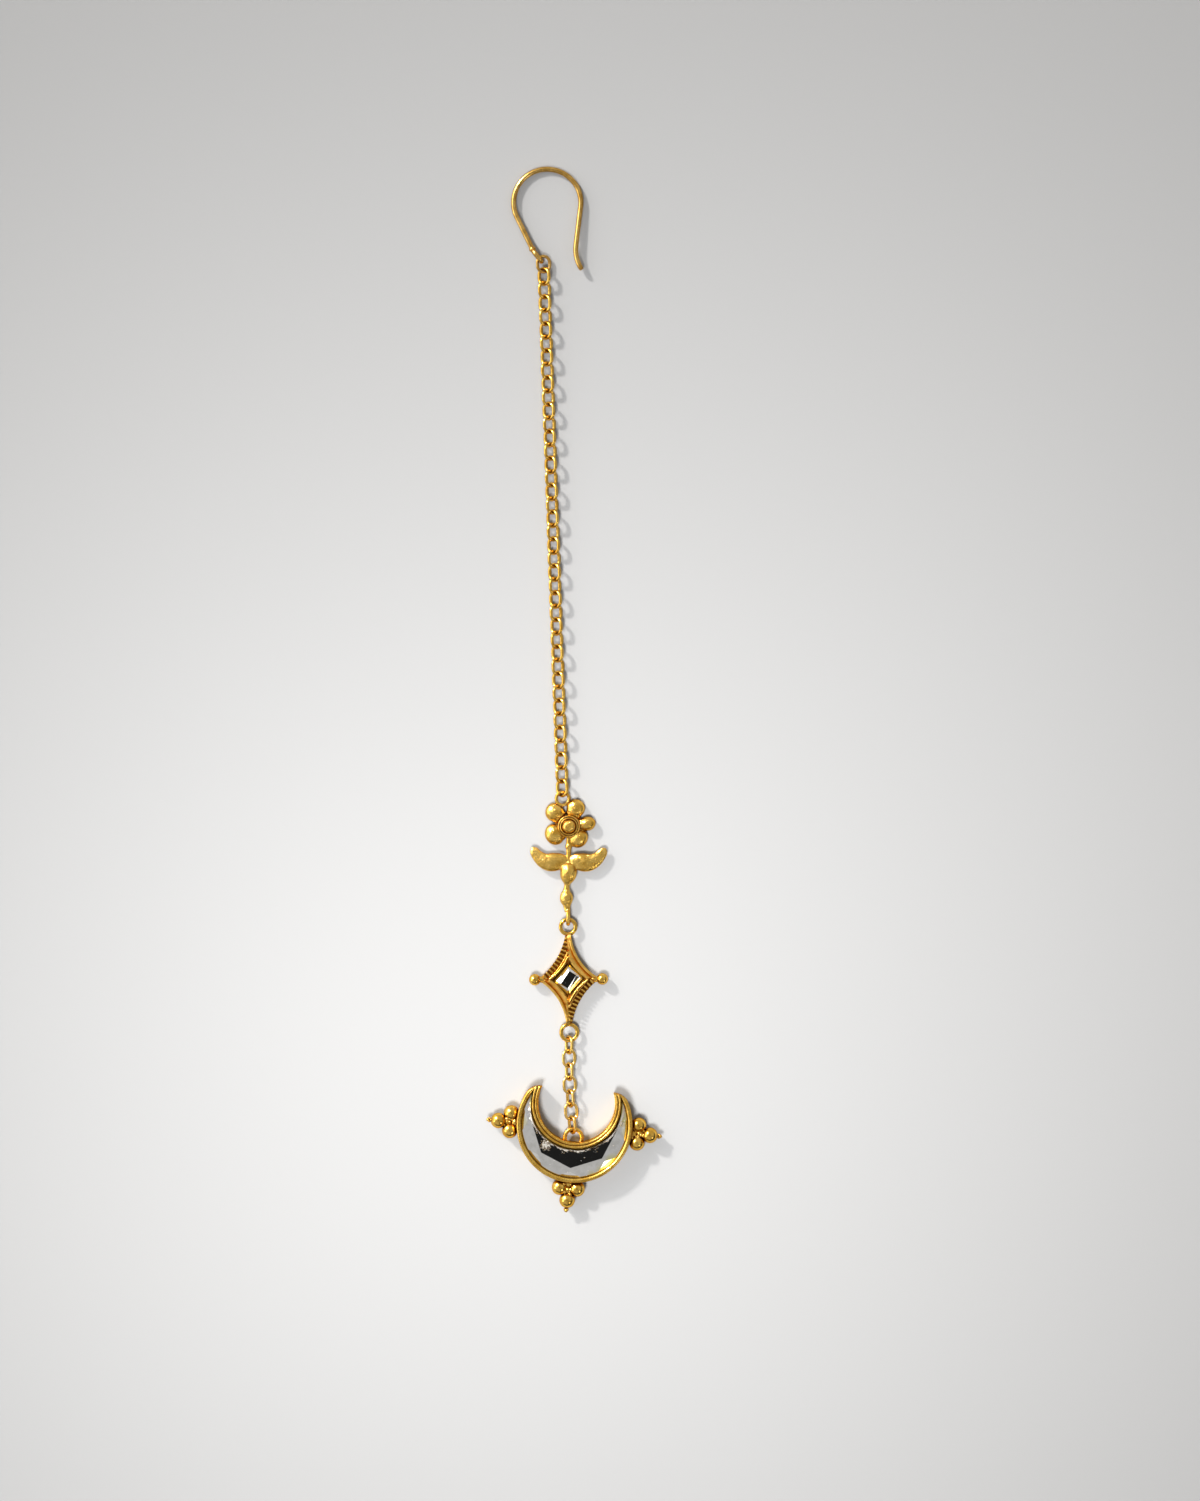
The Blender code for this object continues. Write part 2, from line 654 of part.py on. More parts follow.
def add_star_stone(frame):
    """A rectangle with cut corners, stepped up to a narrower table that is turned a little more."""
    girdle_size = (STAR_STONE_LENGTH, STAR_STONE_WIDTH, STAR_STONE_CORNER, STAR_STONE_TURN)
    table_size = (STAR_TABLE_LENGTH, STAR_TABLE_WIDTH, STAR_TABLE_CORNER, STAR_TABLE_TURN)
    step_size = [(outer + inner) / 2 for outer, inner in zip(girdle_size, table_size)]
    back_size = [length * STAR_STONE_BACK_SHARE for length in girdle_size[:3]] + [STAR_STONE_TURN]

    def outline(size, height):
        x, y, cut = size[0] / 2, size[1] / 2, size[2]
        quarter = [(x, -y + cut), (x, y - cut), (x - cut, y), (-x + cut, y)]
        corners = quarter + [(-px, -py) for px, py in quarter]
        turn = Matrix.Rotation(math.radians(size[3]), 3, "Z")
        return [turn @ Vector((*corner, height)) for corner in corners]

    bottom = STAR_FLOOR_HEIGHT + GLASS_GAP
    girdle = bottom + STAR_STONE_GIRDLE
    step = girdle + STAR_STONE_STEP_RISE
    stone = loft(
        "star_stone",
        (
            outline(back_size, bottom),
            outline(girdle_size, girdle - STAR_STONE_GIRDLE / 2),
            outline(girdle_size, girdle),
            outline(step_size, step),
            outline(table_size, step + STAR_STONE_TABLE_RISE),
        ),
    )
    glass = principled("star_glass", (0.62, 0.62, 0.64), 0.03, 0.0, 0.2)
    finish(stone, frame, glass, 10.0)


# The flower charm: cast in one with its stem, leaves, eye and ring
# Each petal's place round the boss in degrees, and its distance, width and length as shares
PETALS = (
    {"angle": 136.0, "distance": 1.00, "width": 0.93, "length": 0.93},
    {"angle": 70.0, "distance": 0.95, "width": 0.93, "length": 0.93},
    {"angle": 9.0, "distance": 0.92, "width": 0.72, "length": 0.84},
    {"angle": -51.6, "distance": 0.76, "width": 1.00, "length": 0.90},
    {"angle": -150.0, "distance": 0.81, "width": 1.08, "length": 0.97},
)
# The middle line of a wing: how far out and how far up it is as shares of the span, and its width
WING_LINE = (
    {"out": 0.02, "up": 0.02, "width": 0.30},
    {"out": 0.12, "up": -0.02, "width": 0.72},
    {"out": 0.30, "up": -0.07, "width": 0.97},
    {"out": 0.50, "up": -0.09, "width": 1.00},
    {"out": 0.68, "up": -0.04, "width": 0.84},
    {"out": 0.83, "up": 0.08, "width": 0.66},
    {"out": 0.94, "up": 0.23, "width": 0.48},
    {"out": 0.99, "up": 0.30, "width": 0.16},
)
# The profiles of the swellings along the stem, as shares of their length and of their width
BEAD_LINE = ((0.0, 0.42), (0.18, 0.50), (0.36, 0.80), (0.55, 1.0), (0.74, 0.9), (0.9, 0.6), (1.0, 0.42))
LEAF_LINE = ((0.0, 0.25), (0.14, 0.52), (0.34, 0.9), (0.52, 1.0), (0.72, 0.92), (0.88, 0.62), (1.0, 0.25))
KNOT_LINE = ((0.0, 0.7), (0.3, 1.0), (0.7, 1.0), (1.0, 0.7))


def stem_bow(up):
    """How much of the stem's sway it has at this height: none at the eye and above the leaf."""
    share = min(1.0, max(0.0, up / CHARM_LEAF_PLACE))
    return math.sin(math.pi * share)


def charm_stem():
    """The stem from the eye to the flower: one turned wire that swells into a bead, leaf and knot."""
    swellings = (
        (BEAD_LINE, CHARM_BEAD_PLACE, CHARM_BEAD_LENGTH, CHARM_BEAD_DIAMETER),
        (LEAF_LINE, CHARM_LEAF_PLACE, CHARM_LEAF_LENGTH, CHARM_LEAF_WIDTH),
        (KNOT_LINE, CHARM_KNOT_PLACE, CHARM_KNOT_DIAMETER, CHARM_KNOT_DIAMETER),
    )
    points = [(0.0, (CHARM_EYE_LENGTH - CHARM_EYE_WIRE) / 2 - SOLDER_BITE / 2, 0.0)]
    widths = [CHARM_STEM_WIRE]
    for line, middle, length, width in swellings:
        for along, across in line:
            up = middle + length * (along - 0.5)
            points.append((-CHARM_STEM_SWAY * stem_bow(up), up, 0.0))
            widths.append(max(CHARM_STEM_WIRE, width * across))
    points.append((0.0, CHARM_STEM_TOP, 0.0))
    widths.append(CHARM_STEM_WIRE)
    widest = max(widths)
    stem = wire("flower_charm", points, widest, radii=[width / widest for width in widths], fine=2)
    half_side = math.radians(22.5)
    stem.data.transform(Matrix.Rotation(half_side, 4, "Y"))
    stem.data.transform(Matrix.Diagonal((1 / math.cos(half_side), 1.0, CHARM_STEM_FLATNESS, 1.0)))
    stem.data.transform(Matrix.Translation((0, 0, HANG_HEIGHT)))
    return stem


def wing(name, side):
    points = []
    for row in WING_LINE:
        up = CHARM_WING_ROOT + CHARM_WING_SPAN * row["up"]
        points.append((side * CHARM_WING_SPAN * row["out"], up, 0.0))
    widths = [row["width"] for row in WING_LINE]
    body = wire(name, points, CHARM_WING_WIDTH, radii=widths, fine=2)
    body.data.transform(Matrix.Diagonal((1.0, 1.0, CHARM_WING_THICKNESS / CHARM_WING_WIDTH, 1.0)))
    return body


def petal(name, row):
    """A dome on the table's plane, with its back cut flat by the charm's own cutter."""
    size = (FLOWER_PETAL * row["length"], FLOWER_PETAL * row["width"], 2 * dome_half_height())
    place = polar((0, FLOWER_PLACE), FLOWER_RADIUS * row["distance"], row["angle"])
    dome = ball(name, [(0, 0)], size)
    dome.data.transform(Matrix.Rotation(math.radians(row["angle"]), 4, "Z"))
    dome.data.transform(Matrix.Translation((*place, FLOWER_PETAL_BASE)))
    return dome


def dome_half_height():
    return FLOWER_PETAL_HEIGHT - FLOWER_PETAL_BASE


def boss():
    """A turned button: a disc, a ring and a dome, spun round its axis."""
    rise = FLOWER_BOSS_HEIGHT - FLOWER_BOSS_SHOULDER
    profile = (
        (0.0, FLOWER_BOSS_HEIGHT),
        (0.55 * FLOWER_BOSS_RING_RADIUS, FLOWER_BOSS_HEIGHT - 0.18 * rise),
        (0.75 * FLOWER_BOSS_RING_RADIUS, FLOWER_BOSS_HEIGHT - 0.62 * rise),
        (0.86 * FLOWER_BOSS_RING_RADIUS, FLOWER_BOSS_HEIGHT - 0.48 * rise),
        (FLOWER_BOSS_RING_RADIUS, FLOWER_BOSS_HEIGHT - 0.60 * rise),
        (1.06 * FLOWER_BOSS_RING_RADIUS, FLOWER_BOSS_SHOULDER),
        (0.84 * FLOWER_BOSS_RADIUS, FLOWER_BOSS_SHOULDER + 0.10 * rise),
        (FLOWER_BOSS_RADIUS, FLOWER_BOSS_SHOULDER - 0.25 * rise),
        (FLOWER_BOSS_RADIUS, -FLOWER_PETAL_BASE),
        (0.0, -FLOWER_PETAL_BASE),
    )
    bm = bmesh.new()
    knots = [bm.verts.new((x, 0.0, z)) for x, z in profile]
    for upper, lower in zip(knots, knots[1:]):
        bm.edges.new((upper, lower))
    button = from_bmesh("flower_boss", bm)
    spun = button.modifiers.new("turned", "SCREW")
    spun.axis = "Z"
    spun.steps = RING_STEPS
    spun.render_steps = RING_STEPS
    spun.use_merge_vertices = True
    spun.merge_threshold = WELD
    return button


def add_charm(frame):
    charm = charm_stem()
    eye_line = oval_points(CHARM_EYE_LENGTH, CHARM_EYE_WIDTH, CHARM_EYE_WIRE)
    eye = rolled(wire("charm_eye", eye_line, CHARM_EYE_WIRE, closed=True), 90)
    along_stem = (eye, wing("left_leaf", -1), wing("right_leaf", 1))
    parts = [put(part, frame, (0, 0, HANG_HEIGHT)) for part in along_stem]
    for number, row in enumerate(PETALS, 1):
        parts.append(put(petal("petal_%d" % number, row), frame))
    parts.append(put(boss(), frame, (0, FLOWER_PLACE, 0)))

    ring_line = ring_points(CHARM_RING, CHARM_RING_WIRE)
    ring = rolled(wire("charm_ring", ring_line, CHARM_RING_WIRE, closed=True), CHARM_RING_ROLL)
    parts.append(put(ring, frame, charm_ring_place()))
    fuse(charm, *parts)

    below = FLOWER_PLACE + FLOWER_RADIUS + FLOWER_PETAL
    flat_back = slab(
        "flat_back",
        [(-below, -below), (below, -below), (below, 2 * below), (-below, 2 * below)],
        -below,
        0.0,
    )
    carve(charm, put(flat_back, frame))
    finish(charm, frame, gold("charm_gold", 0.32))


def charm_ring_place():
    return Vector((CHARM_RING_SIDE, FLOWER_PLACE + CHARM_RING_RISE, LONG_CHAIN_HEIGHT))


# The long chain: oval links closed through each other and lying over to one side and the other
def add_long_chain(start, reach):
    """One body of links from the ring at start, whose inner reach is given, and its last place."""
    frame = frame_at("long_chain_frame", start, LONG_CHAIN_LEAN)
    line = oval_points(LONG_LINK_LENGTH, LONG_LINK_WIDTH, LONG_LINK_WIRE)
    inner_half = LONG_LINK_LENGTH / 2 - LONG_LINK_WIRE
    first = reach + inner_half - LINK_CLEARANCE
    pitch = 2 * inner_half + LINK_BITE
    rows = []
    for offset, roll in ((0, LONG_LINK_ROLL), (1, -LONG_LINK_ROLL)):
        link = rolled(wire("long_link", line, LONG_LINK_WIRE, closed=True), roll)
        row = bmesh.new()
        for number in range(offset, LONG_CHAIN_LINKS, 2):
            placed = link.data.copy()
            placed.transform(Matrix.Translation((0.0, first + pitch * number, 0.0)))
            row.from_mesh(placed)
            bpy.data.meshes.remove(placed)
        bpy.data.objects.remove(link, do_unlink=True)
        rows.append(from_bmesh("long_chain" if offset == 0 else "other_links", row))
    chain, others = rows
    fuse(chain, put(others, frame))
    finish(chain, frame, gold("chain_gold", 0.18))
    far = first + pitch * (LONG_CHAIN_LINKS - 1) + inner_half - LINK_CLEARANCE
    return start + heading(LONG_CHAIN_LEAN) * far


# The ring that joins the chain to the hook
def add_hook_ring(start):
    reach = HOOK_RING_LENGTH / 2 - HOOK_RING_WIRE
    center = start + heading(LONG_CHAIN_LEAN) * reach
    frame = frame_at("hook_ring_frame", center, LONG_CHAIN_LEAN)
    line = oval_points(HOOK_RING_LENGTH, HOOK_RING_WIDTH, HOOK_RING_WIRE)
    ring = rolled(wire("hook_ring", line, HOOK_RING_WIRE, closed=True), HOOK_RING_ROLL)
    finish(ring, frame, gold("hook_ring_gold", 0.18))
    return center


# The hook: one length of wire bent round a loop, with a closed eye and a collar at its near end
def bent_path(start, lean, bends):
    """Points along straight runs and arcs from a start, given as (length, turn to the left)."""
    points = [Vector(start)]
    for length, turn in bends:
        steps = max(1, round(abs(turn) / 14))
        for _ in range(steps):
            lean += turn / steps / 2
            points.append(points[-1] + heading(lean) * (length / steps))
            lean += turn / steps / 2
    return points


def add_hook(ring_center):
    end_radius = (HOOK_RING_WIDTH - HOOK_RING_WIRE) / 2
    end_center = Vector((0.0, (HOOK_RING_LENGTH - HOOK_RING_WIDTH) / 2))
    contact = polar(end_center, end_radius, HOOK_PULL_ANGLE).to_3d()
    contact = Matrix.Rotation(math.radians(LONG_CHAIN_LEAN), 3, "Z") @ contact
    eye_half = HOOK_EYE_LENGTH / 2 - HOOK_EYE_WIRE
    eye_reach = eye_half - HOOK_RING_WIRE / 2 - LINK_CLEARANCE
    eye_center = ring_center + contact + heading(HOOK_EYE_LEAN) * eye_reach
    eye_center.z = HOOK_EYE_HEIGHT / 2
    frame = frame_at("hook_frame", eye_center, 0.0)

    eye_line = oval_points(HOOK_EYE_LENGTH, HOOK_EYE_HEIGHT, HOOK_EYE_WIRE)
    eye = rolled(wire("hook_eye", eye_line, HOOK_EYE_WIRE, closed=True), 90)
    put(eye, frame).rotation_euler.z = math.radians(HOOK_EYE_LEAN)

    root = heading(HOOK_EYE_LEAN) * (HOOK_EYE_LENGTH / 2 - HOOK_EYE_WIRE / 2)
    loop_turn = -(180 + HOOK_LEG_LEAN + HOOK_FREE_LEG_LEAN)
    line = bent_path(
        root,
        HOOK_LEG_LEAN,
        (
            (HOOK_LEG_LENGTH, 0),
            (HOOK_LOOP_RADIUS * math.radians(-loop_turn), loop_turn),
            (HOOK_FREE_LEG_LENGTH, 0),
            (HOOK_FLARE_RADIUS * math.radians(HOOK_FLARE_TURN), HOOK_FLARE_TURN),
        ),
    )
    reach = max(point.y for point in line) - root.y
    fall = (HOOK_EYE_HEIGHT - HOOK_WIRE) / 2
    for point in line:
        point.z = -fall * (point.y - root.y) / reach
    hook = wire("hair_hook", line, HOOK_WIRE, fine=2)

    collar_end = root + (line[1] - line[0]).normalized() * HOOK_COLLAR_LENGTH
    collar = put(wire("hook_collar", (root, collar_end), HOOK_COLLAR, fine=2), frame)
    fuse(hook, eye, collar)
    finish(hook, frame, gold("hook_gold", 0.14))


def build_ornament():
    clear_scene()
    crescent = frame_at("crescent_frame", (0, 0, 0), CRESCENT_LEAN)
    add_crescent(crescent)
    add_crescent_stone(crescent)

    loop = heading(CRESCENT_LEAN) * crescent_loop_place()
    loop.z = HANG_HEIGHT
    loop_reach = CRESCENT_LOOP_DIAMETER / 2 - CRESCENT_LOOP_WIRE
    chain_end = add_short_chain(loop, loop_reach)

    bottom_reach = STAR_BOTTOM_RING / 2 - STAR_RING_WIRE
    bottom_ring = chain_end + heading(SHORT_CHAIN_LAST_LEAN) * bottom_reach
    star_center = bottom_ring + heading(STAR_LEAN) * STAR_CENTER_RISE
    star_center.z = 0.0
    star = frame_at("star_frame", star_center, STAR_LEAN)
    add_star(star)
    add_star_stone(star)

    top_ring = star_center + heading(STAR_LEAN) * STAR_TOP_RING_RISE
    top_reach = STAR_TOP_RING / 2 - STAR_RING_WIRE
    eye_reach = CHARM_EYE_LENGTH / 2 - CHARM_EYE_WIRE
    charm_eye = top_ring + heading(CHARM_LEAN) * (top_reach + eye_reach - LINK_CLEARANCE)
    charm = frame_at("charm_frame", charm_eye, CHARM_LEAN)
    add_charm(charm)

    turn = Matrix.Rotation(math.radians(CHARM_LEAN), 3, "Z")
    charm_ring = charm_eye + turn @ charm_ring_place()
    chain_end = add_long_chain(charm_ring, CHARM_RING / 2 - CHARM_RING_WIRE)
    ring_center = add_hook_ring(chain_end)
    add_hook(ring_center)
    bpy.context.view_layer.update()


build_ornament()
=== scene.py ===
# The looks of a maang tikka: gold-plated metal and foil-backed glass, lying on a pale table.
# Sizes are in millimetres and angles in degrees. Each piece is drawn about its own middle and then
# seated, which turns it, moves it to its place on the table and brings it to metres.
import random
from math import atan2, ceil, copysign, cos, degrees, pi, radians, sin, sqrt, tan

import bmesh
import bpy
from mathutils import Matrix, Vector
from mathutils.kdtree import KDTree


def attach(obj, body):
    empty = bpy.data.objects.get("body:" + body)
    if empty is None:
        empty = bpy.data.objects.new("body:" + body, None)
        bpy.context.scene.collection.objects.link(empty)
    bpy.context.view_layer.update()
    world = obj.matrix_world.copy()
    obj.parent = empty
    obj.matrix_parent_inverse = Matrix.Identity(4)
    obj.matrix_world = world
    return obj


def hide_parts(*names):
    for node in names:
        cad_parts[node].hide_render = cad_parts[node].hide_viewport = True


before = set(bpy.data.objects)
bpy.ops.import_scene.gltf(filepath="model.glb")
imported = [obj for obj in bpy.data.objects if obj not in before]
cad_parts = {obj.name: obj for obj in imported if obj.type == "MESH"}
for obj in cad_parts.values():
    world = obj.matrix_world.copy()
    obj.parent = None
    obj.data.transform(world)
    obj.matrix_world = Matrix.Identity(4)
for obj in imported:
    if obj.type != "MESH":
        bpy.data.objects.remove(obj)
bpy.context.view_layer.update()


# The crescent's setting is a cast brass tray, gold-plated and polished. Its rim is one soft ridge
# outside and two along the hollow. Three clusters of three beads, each with a grain at its tip,
# and the hanging loop are soldered on, and bright solder fills the space between the beads.
MM = 0.001
CRESCENT_LEAN = -5.6
CRESCENT_RADIUS = 8.39
HOLLOW_RADIUS = 5.63
HOLLOW_OFFSET = 3.08
CRESCENT_HEIGHT = 3.0
CRESCENT_FLOOR = 0.9
FOOT_HEIGHT = 0.06
FOOT_SHARE = 0.985
WALL_TOP = 2.65
RIM_ROUNDING = 0.20
HORN_RADIUS = 2.3
HORN_ANGLE = 27.5
OUTER_RIM = 0.65
INNER_RIM = 0.85
RAIL_WIRE = 0.40
RAIL_PROUD = 0.07
LEDGE_SAG = 0.24
RIM_FALL = 0.30
ROUNDING_SLACK = 0.001
CRESCENT_LOOP = 3.05
CRESCENT_LOOP_WIRE = 0.58
CRESCENT_LOOP_PLACE = 3.525
CLUSTER_BEAD = 2.25
CLUSTER_SPREAD = 2.54
CLUSTER_STAND_OFF = 0.86
CLUSTER_BITE = 0.08
SIDE_CLUSTER_DROP = 0.50
TIP_GRAIN = 0.55
TIP_NECK = 0.66
TIP_NECK_LENGTH = 0.10
SOLDER_LUMP = 1.55
GRANULE = 0.58
GRANULES = 34
GRANULES_FROM = -0.1
GRANULES_TO = 0.66
GRANULE_RISE = (0.1, 0.62)
GRANULE_SHARES = (0.6, 1.1)
KNOB = 0.62
KNOB_PLACES = (-0.42, 0.42)
# How far out and how wide the neck at the tip and the lumps of solder are, as shares
TIP_COLLAR = ((0.36, 1.1), (0.46, 1.0), (0.52, 0.8), (0.56, 0.5))
SOLDER_PLACES = ((0.05, 1.0), (0.45, 0.92))
SHORT_LINK_LENGTH = 2.757
SHORT_LINK_WIDTH = 2.10
SHORT_LINK_WIRE = 0.38
STEEP_ROLL = 62.0
GOLD = (0.86, 0.54, 0.115, 1.0)
DEEP_GOLD = (0.67, 0.36, 0.045, 1.0)
EDGE_TINT = (0.75, 0.42, 0.16, 1.0)
# The colour painted as shade where the gold is sheltered: in hollows, between pieces and near the table
PAINTED_SHADE = (0.23, 0.08, 0.008, 1.0)
SHELTER_REACH = 0.55
CLOUD_WIDTH = 1.3
SWELL_WIDTH = 0.9
SWELL_DEPTH = 3.0


def polar(center, radius, angle):
    way = radians(angle)
    return Vector((center[0] + radius * cos(way), center[1] + radius * sin(way)))


def angle_at(center, point):
    return degrees(atan2(point[1] - center[1], point[0] - center[0]))


def heading(lean):
    """The flat direction that leans to the left of +Y."""
    return Vector((-sin(radians(lean)), cos(radians(lean)), 0.0))


def mix(start, end, share):
    return start + (end - start) * share


def arc(center, radius, start, end, steps):
    """Points from one angle towards another, without the last."""
    return [polar(center, radius, mix(start, end, i / steps)) for i in range(steps)]


def lying_height(width, thickness, roll):
    """How high a rolled link's middle is when its lower side rests on the table."""
    return (width - thickness) / 2 * abs(sin(radians(roll))) + thickness / 2


def turned(angle, size=4, axis="Z"):
    return Matrix.Rotation(radians(angle), size, axis)


def moved(*place):
    return Matrix.Translation(place)


def seat(point, lean=0.0):
    """From a drawing in millimetres to its place on the table, leaning to the left of +Y."""
    return Matrix.Scale(MM, 4) @ moved(*Vector(point).to_3d()) @ turned(lean)


def skin(bm, rows, looped=False):
    """A surface through rows of as many points each; its ends are closed, or meet in a loop."""
    rings = [[bm.verts.new(point) for point in row] for row in rows]
    for lower, upper in zip(rings, rings[1:] + rings[:1] if looped else rings[1:]):
        for i in range(len(lower)):
            j = (i + 1) % len(lower)
            bm.faces.new((lower[i], lower[j], upper[j], upper[i]))
    if not looped:
        bm.faces.new(reversed(rings[0]))
        bm.faces.new(rings[-1])
    return [vert for ring in rings for vert in ring]


def tube(bm, line, radius, closed=False, sides=16, flat=1.0, turn=Matrix()):
    """A wire along a line that is flat in X and Y; radius is one size or one for each point."""
    points = [Vector(point).to_3d() for point in line]
    count = len(points)
    radii = radius if isinstance(radius, (list, tuple)) else [radius] * count
    around = [2 * pi * k / sides for k in range(sides)]
    rows = []
    for i, point in enumerate(points):
        before = points[i - 1] if closed or i else point
        after = points[(i + 1) % count] if closed or i < count - 1 else point
        along = (after - before).normalized()
        side = along.cross(Vector((0, 0, 1))).normalized()
        up = side.cross(along)
        ways = [side * cos(angle) + up * sin(angle) * flat for angle in around]
        rows.append([point + way * radii[i] for way in ways])
    bmesh.ops.transform(bm, matrix=turn, verts=skin(bm, rows, looped=closed))


def ball(bm, center, size, segments=40, rings=24):
    """A round or oval ball, of one diameter or of three sizes."""
    sizes = size if isinstance(size, (list, tuple)) else (size,) * 3
    placed = moved(*center) @ Matrix.Diagonal((*sizes, 1.0))
    return bmesh.ops.create_uvsphere(
        bm, u_segments=segments, v_segments=rings, radius=0.5, matrix=placed
    )["verts"]


def ring(bm, diameter, wire, placed, steps=56):
    """A round ring, as wide outside as the diameter."""
    tube(bm, arc((0, 0), (diameter - wire) / 2, 0, 360, steps), wire / 2, True, turn=placed)


def mesh_of(name, bm):
    bmesh.ops.recalc_face_normals(bm, faces=bm.faces)
    mesh = bpy.data.meshes.new(name)
    bm.to_mesh(mesh)
    bm.free()
    return mesh


def added(name, data):
    """An object of the scene: a mesh, a lamp or a camera."""
    obj = bpy.data.objects.new(name, data)
    bpy.context.scene.collection.objects.link(obj)
    return obj


def show(name, form, placed, material, replaced, sharp=38.0):
    """Seat a form as one of the ornament's pieces, in place of the solid of this name."""
    mesh = form if isinstance(form, bpy.types.Mesh) else mesh_of(name, form)
    mesh.transform(placed)
    mesh.shade_smooth()
    mesh.set_sharp_from_angle(angle=radians(sharp))
    mesh.materials.append(material)
    obj = added(name, mesh)
    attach(obj, "root")
    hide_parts(replaced)


def node(tree, kind, inputs=None, **settings):
    """A shader node with its settings; an input is a value or the socket that feeds it."""
    made = tree.nodes.new(kind)
    for name, value in settings.items():
        setattr(made, name, value)
    for key, value in (inputs or {}).items():
        if isinstance(value, bpy.types.NodeSocket):
            tree.links.new(value, made.inputs[key])
        else:
            made.inputs[key].default_value = value
    return made


def blended(tree, share, first, second):
    """A colour between two, by a share."""
    return node(tree, "ShaderNodeMix", {0: share, 6: first, 7: second}, data_type="RGBA").outputs[2]


def ramped(tree, value, low, high, out_low=0.0, out_high=1.0):
    """A value carried smoothly from one range into another."""
    inputs = {"Value": value, 1: low, 2: high, 3: out_low, 4: out_high}
    return node(tree, "ShaderNodeMapRange", inputs, interpolation_type="SMOOTHSTEP").outputs[0]


def noise(tree, place, width, detail=2.0, roughness=0.5, waviness=0.0):
    """Noise whose blots are about as wide as given, in millimetres."""
    inputs = {"Vector": place, "Scale": 1.0 / width, "Detail": detail, "Roughness": roughness,
              "Distortion": waviness}
    return node(tree, "ShaderNodeTexNoise", inputs).outputs[0]


def millimetres(tree):
    """Places on the ornament in millimetres."""
    place = node(tree, "ShaderNodeTexCoord").outputs["Object"]
    scaled = {0: place, 1: (1 / MM, 1 / MM, 1 / MM)}
    return node(tree, "ShaderNodeVectorMath", scaled, operation="MULTIPLY").outputs[0]


def new_material(name, **values):
    """A material with these values on its shader's own sockets."""
    material = bpy.data.materials.new(name)
    material.use_nodes = True
    for socket, value in values.items():
        inputs = material.node_tree.nodes["Principled BSDF"].inputs
        inputs[socket.replace("_", " ")].default_value = value
    return material


def feed(tree, color, roughness, height, depth):
    """Give the shader its colour, its roughness, and marks as deep as given in millimetres."""
    bump = node(tree, "ShaderNodeBump", {"Height": height, "Distance": depth * MM, "Strength": 1.0})
    inputs = tree.nodes["Principled BSDF"].inputs
    tree.links.new(color, inputs["Base Color"])
    tree.links.new(roughness, inputs["Roughness"])
    tree.links.new(bump.outputs[0], inputs["Normal"])


def gold(name, light, deep, roughness, grain, depth, dulled=0.10, waviness=0.0, painted_shade_tone=PAINTED_SHADE):
    """Gold plate with painted shade where it is sheltered, in hollows, between pieces and near the
    table, and with marks as wide and deep as given, in mm.
    """
    material = new_material(name, Metallic=1.0, Specular_Tint=EDGE_TINT)
    tree = material.node_tree
    place = millimetres(tree)
    clouds = noise(tree, place, CLOUD_WIDTH, 3.0)
    marks = noise(tree, place, grain, 3.0, 0.6, waviness)
    patches = ramped(tree, clouds, 0.35, 0.75)
    reach = {"Distance": SHELTER_REACH * MM}
    open_share = node(tree, "ShaderNodeAmbientOcclusion", reach, samples=8).outputs["AO"]
    # Painted shade: the colour falls to the shade tone where ambient occlusion, the table's included,
    # finds the gold sheltered
    painted_shade_share = ramped(tree, open_share, 0.35, 0.90, 1.0, 0.0)
    color = blended(tree, painted_shade_share, blended(tree, patches, light, deep), painted_shade_tone)
    worn = ramped(tree, marks, 0.30, 0.75, roughness, roughness + dulled)
    swell = {0: noise(tree, place, SWELL_WIDTH, 1.0), 1: SWELL_DEPTH, 2: marks}
    height = node(tree, "ShaderNodeMath", swell, operation="MULTIPLY_ADD").outputs[0]
    feed(tree, color, worn, height, depth)
    return material


OUTER_CENTER = Vector((0.0, CRESCENT_RADIUS - (CRESCENT_RADIUS - HOLLOW_RADIUS + HOLLOW_OFFSET) / 2))
HOLLOW_CENTER = OUTER_CENTER + Vector((0.0, HOLLOW_OFFSET))
HORN_CENTER = polar(OUTER_CENTER, CRESCENT_RADIUS - HORN_RADIUS, HORN_ANGLE)
HANG_HEIGHT = lying_height(SHORT_LINK_WIDTH, SHORT_LINK_WIRE, STEEP_ROLL)


def crossing(center_a, radius_a, center_b, radius_b):
    """The upper right point where two circles cross."""
    apart = center_b - center_a
    along = (radius_a**2 - radius_b**2 + apart.length**2) / (2 * apart.length)
    across = sqrt(radius_a**2 - along**2)
    middle = center_a + apart * (along / apart.length)
    side = apart.orthogonal() * (across / apart.length)
    return max(middle + side, middle - side, key=lambda point: point.x + point.y)


def mirrored(right_half):
    return right_half + [Vector((-point.x, point.y)) for point in reversed(right_half[1:-1])]


def lens_outline(outer_radius, inner_radius, step=2.5):
    """The space between the crescent's two circles, which meet in sharp horns."""
    tip = crossing(HOLLOW_CENTER, inner_radius, OUTER_CENTER, outer_radius)
    outer_tip, inner_tip = angle_at(OUTER_CENTER, tip), angle_at(HOLLOW_CENTER, tip)
    half = arc(OUTER_CENTER, outer_radius, -90.0, outer_tip, ceil((outer_tip + 90.0) / step))
    half += arc(HOLLOW_CENTER, inner_radius, inner_tip, -90.0, ceil((inner_tip + 90.0) / step))
    half.append(polar(HOLLOW_CENTER, inner_radius, -90.0))
    return mirrored(half)


